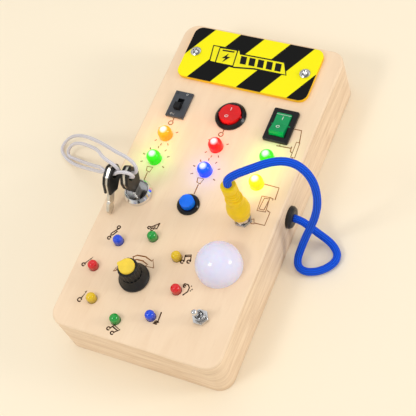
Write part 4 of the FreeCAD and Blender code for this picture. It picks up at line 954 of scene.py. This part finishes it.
# Stage
FLOOR_DROP = 0.0002
SKY = 0.69
MIRRORED_SKY = ((0.0, 0.9), (0.25, 0.12), (0.45, 1.0), (0.62, 0.5), (0.8, 0.16), (1.0, 0.3))
SOFTBOXES = (
    ("left_softbox", (-0.34, -0.53, 0.84), 0.24, 2.0),
    ("right_softbox", (0.88, 0.24, 0.40), 0.24, 2.2),
    ("top_softbox", (-0.15, 0.35, 1.35), 1.2, 2.7),
)
GLOWS = {
    "led_orange": (1.0, 0.35, 0.05),
    "led_red": (1.0, 0.05, 0.03),
    "led_green_right": (0.15, 1.0, 0.1),
    "led_green_left": (0.15, 1.0, 0.1),
    "led_blue": (0.05, 0.2, 1.0),
    "led_yellow": (1.0, 0.7, 0.05),
}
GLOW_POWER, GLOW_SIZE, GLOW_HEIGHT = 0.0050, 0.002, 0.004


def add_floor():
    bpy.ops.object.select_all(action="DESELECT")
    bpy.ops.mesh.primitive_plane_add(size=6, location=(0, 0, -FLOOR_DROP))
    floor = bpy.context.object
    floor.name = "floor"
    finish = Finish("floor_cream", roughness=0.9, Specular_IOR_Level=0.05)
    cloud = finish.noise(1.2, 2)
    finish.colour(finish.mixed(cloud, linear(254, 241, 216), linear(253, 239, 213)))
    floor.data.materials.append(finish.material)


def add_sky():
    """An even sky for soft light, cream to the camera, and banded where glossy pieces mirror it."""
    world = bpy.data.worlds.new("studio")
    scene.world = world
    world.use_nodes = True
    tree = world.node_tree

    def node(kind, **inputs):
        made = tree.nodes.new(kind)
        for socket, value in inputs.items():
            made.inputs[socket].default_value = value
        return made

    def join(source, target):
        tree.links.new(source, target)

    def chosen(share, first, second):
        mix = node("ShaderNodeMixShader")
        join(share, mix.inputs[0])
        join(first.outputs[0], mix.inputs[1])
        join(second.outputs[0], mix.inputs[2])
        return mix

    soft = tree.nodes["Background"]
    soft.inputs["Color"].default_value = (1.0, 0.99, 0.975, 1)
    soft.inputs["Strength"].default_value = SKY
    seen = node("ShaderNodeBackground", Color=(*linear(254, 240, 214), 1), Strength=1.0)
    mirrored = node("ShaderNodeBackground", Strength=1.0)
    height = node("ShaderNodeSeparateXYZ")
    join(node("ShaderNodeTexCoord").outputs["Generated"], height.inputs[0])
    bands = node("ShaderNodeValToRGB")
    marks = bands.color_ramp.elements
    while len(marks) < len(MIRRORED_SKY):
        marks.new(0.5)
    for mark, (at, level) in zip(marks, MIRRORED_SKY):
        mark.position = at
        mark.color = (level, level * 0.99, level * 0.97, 1)
    join(height.outputs[2], bands.inputs["Fac"])
    join(bands.outputs["Color"], mirrored.inputs["Color"])
    path = node("ShaderNodeLightPath")
    either = node("ShaderNodeMath")
    either.operation = "MAXIMUM"
    join(path.outputs["Is Camera Ray"], either.inputs[0])
    join(path.outputs["Is Transmission Ray"], either.inputs[1])
    sheen = chosen(path.outputs["Is Glossy Ray"], soft, mirrored)
    pick = chosen(either.outputs[0], sheen, seen)
    join(pick.outputs[0], tree.nodes["World Output"].inputs["Surface"])


def add_lamp(name, lamp, place):
    holder = bpy.data.objects.new(name, lamp)
    holder.location = place
    scene.collection.objects.link(holder)
    return holder


def add_softboxes():
    for name, place, size, power in SOFTBOXES:
        lamp = bpy.data.lights.new(name, "AREA")
        lamp.size = size
        lamp.energy = power
        aim = Vector((0, 0, 0.03)) - Vector(place)
        add_lamp(name, lamp, place).rotation_euler = aim.to_track_quat("-Z", "Y").to_euler()


def add_glows():
    """The light that each lit lamp throws on the wood."""
    for name, (x, y) in status_places.items():
        nodes[name].visible_shadow = False
        lamp = bpy.data.lights.new(f"glow_{name}", "POINT")
        lamp.color = GLOWS[name]
        lamp.energy = GLOW_POWER
        lamp.shadow_soft_size = GLOW_SIZE
        add_lamp(f"glow_{name}", lamp, (x * MM, y * MM, DECK + GLOW_HEIGHT)).visible_glossy = False


add_floor()
add_sky()
add_softboxes()
add_glows()
scene.view_settings.view_transform = "Standard"
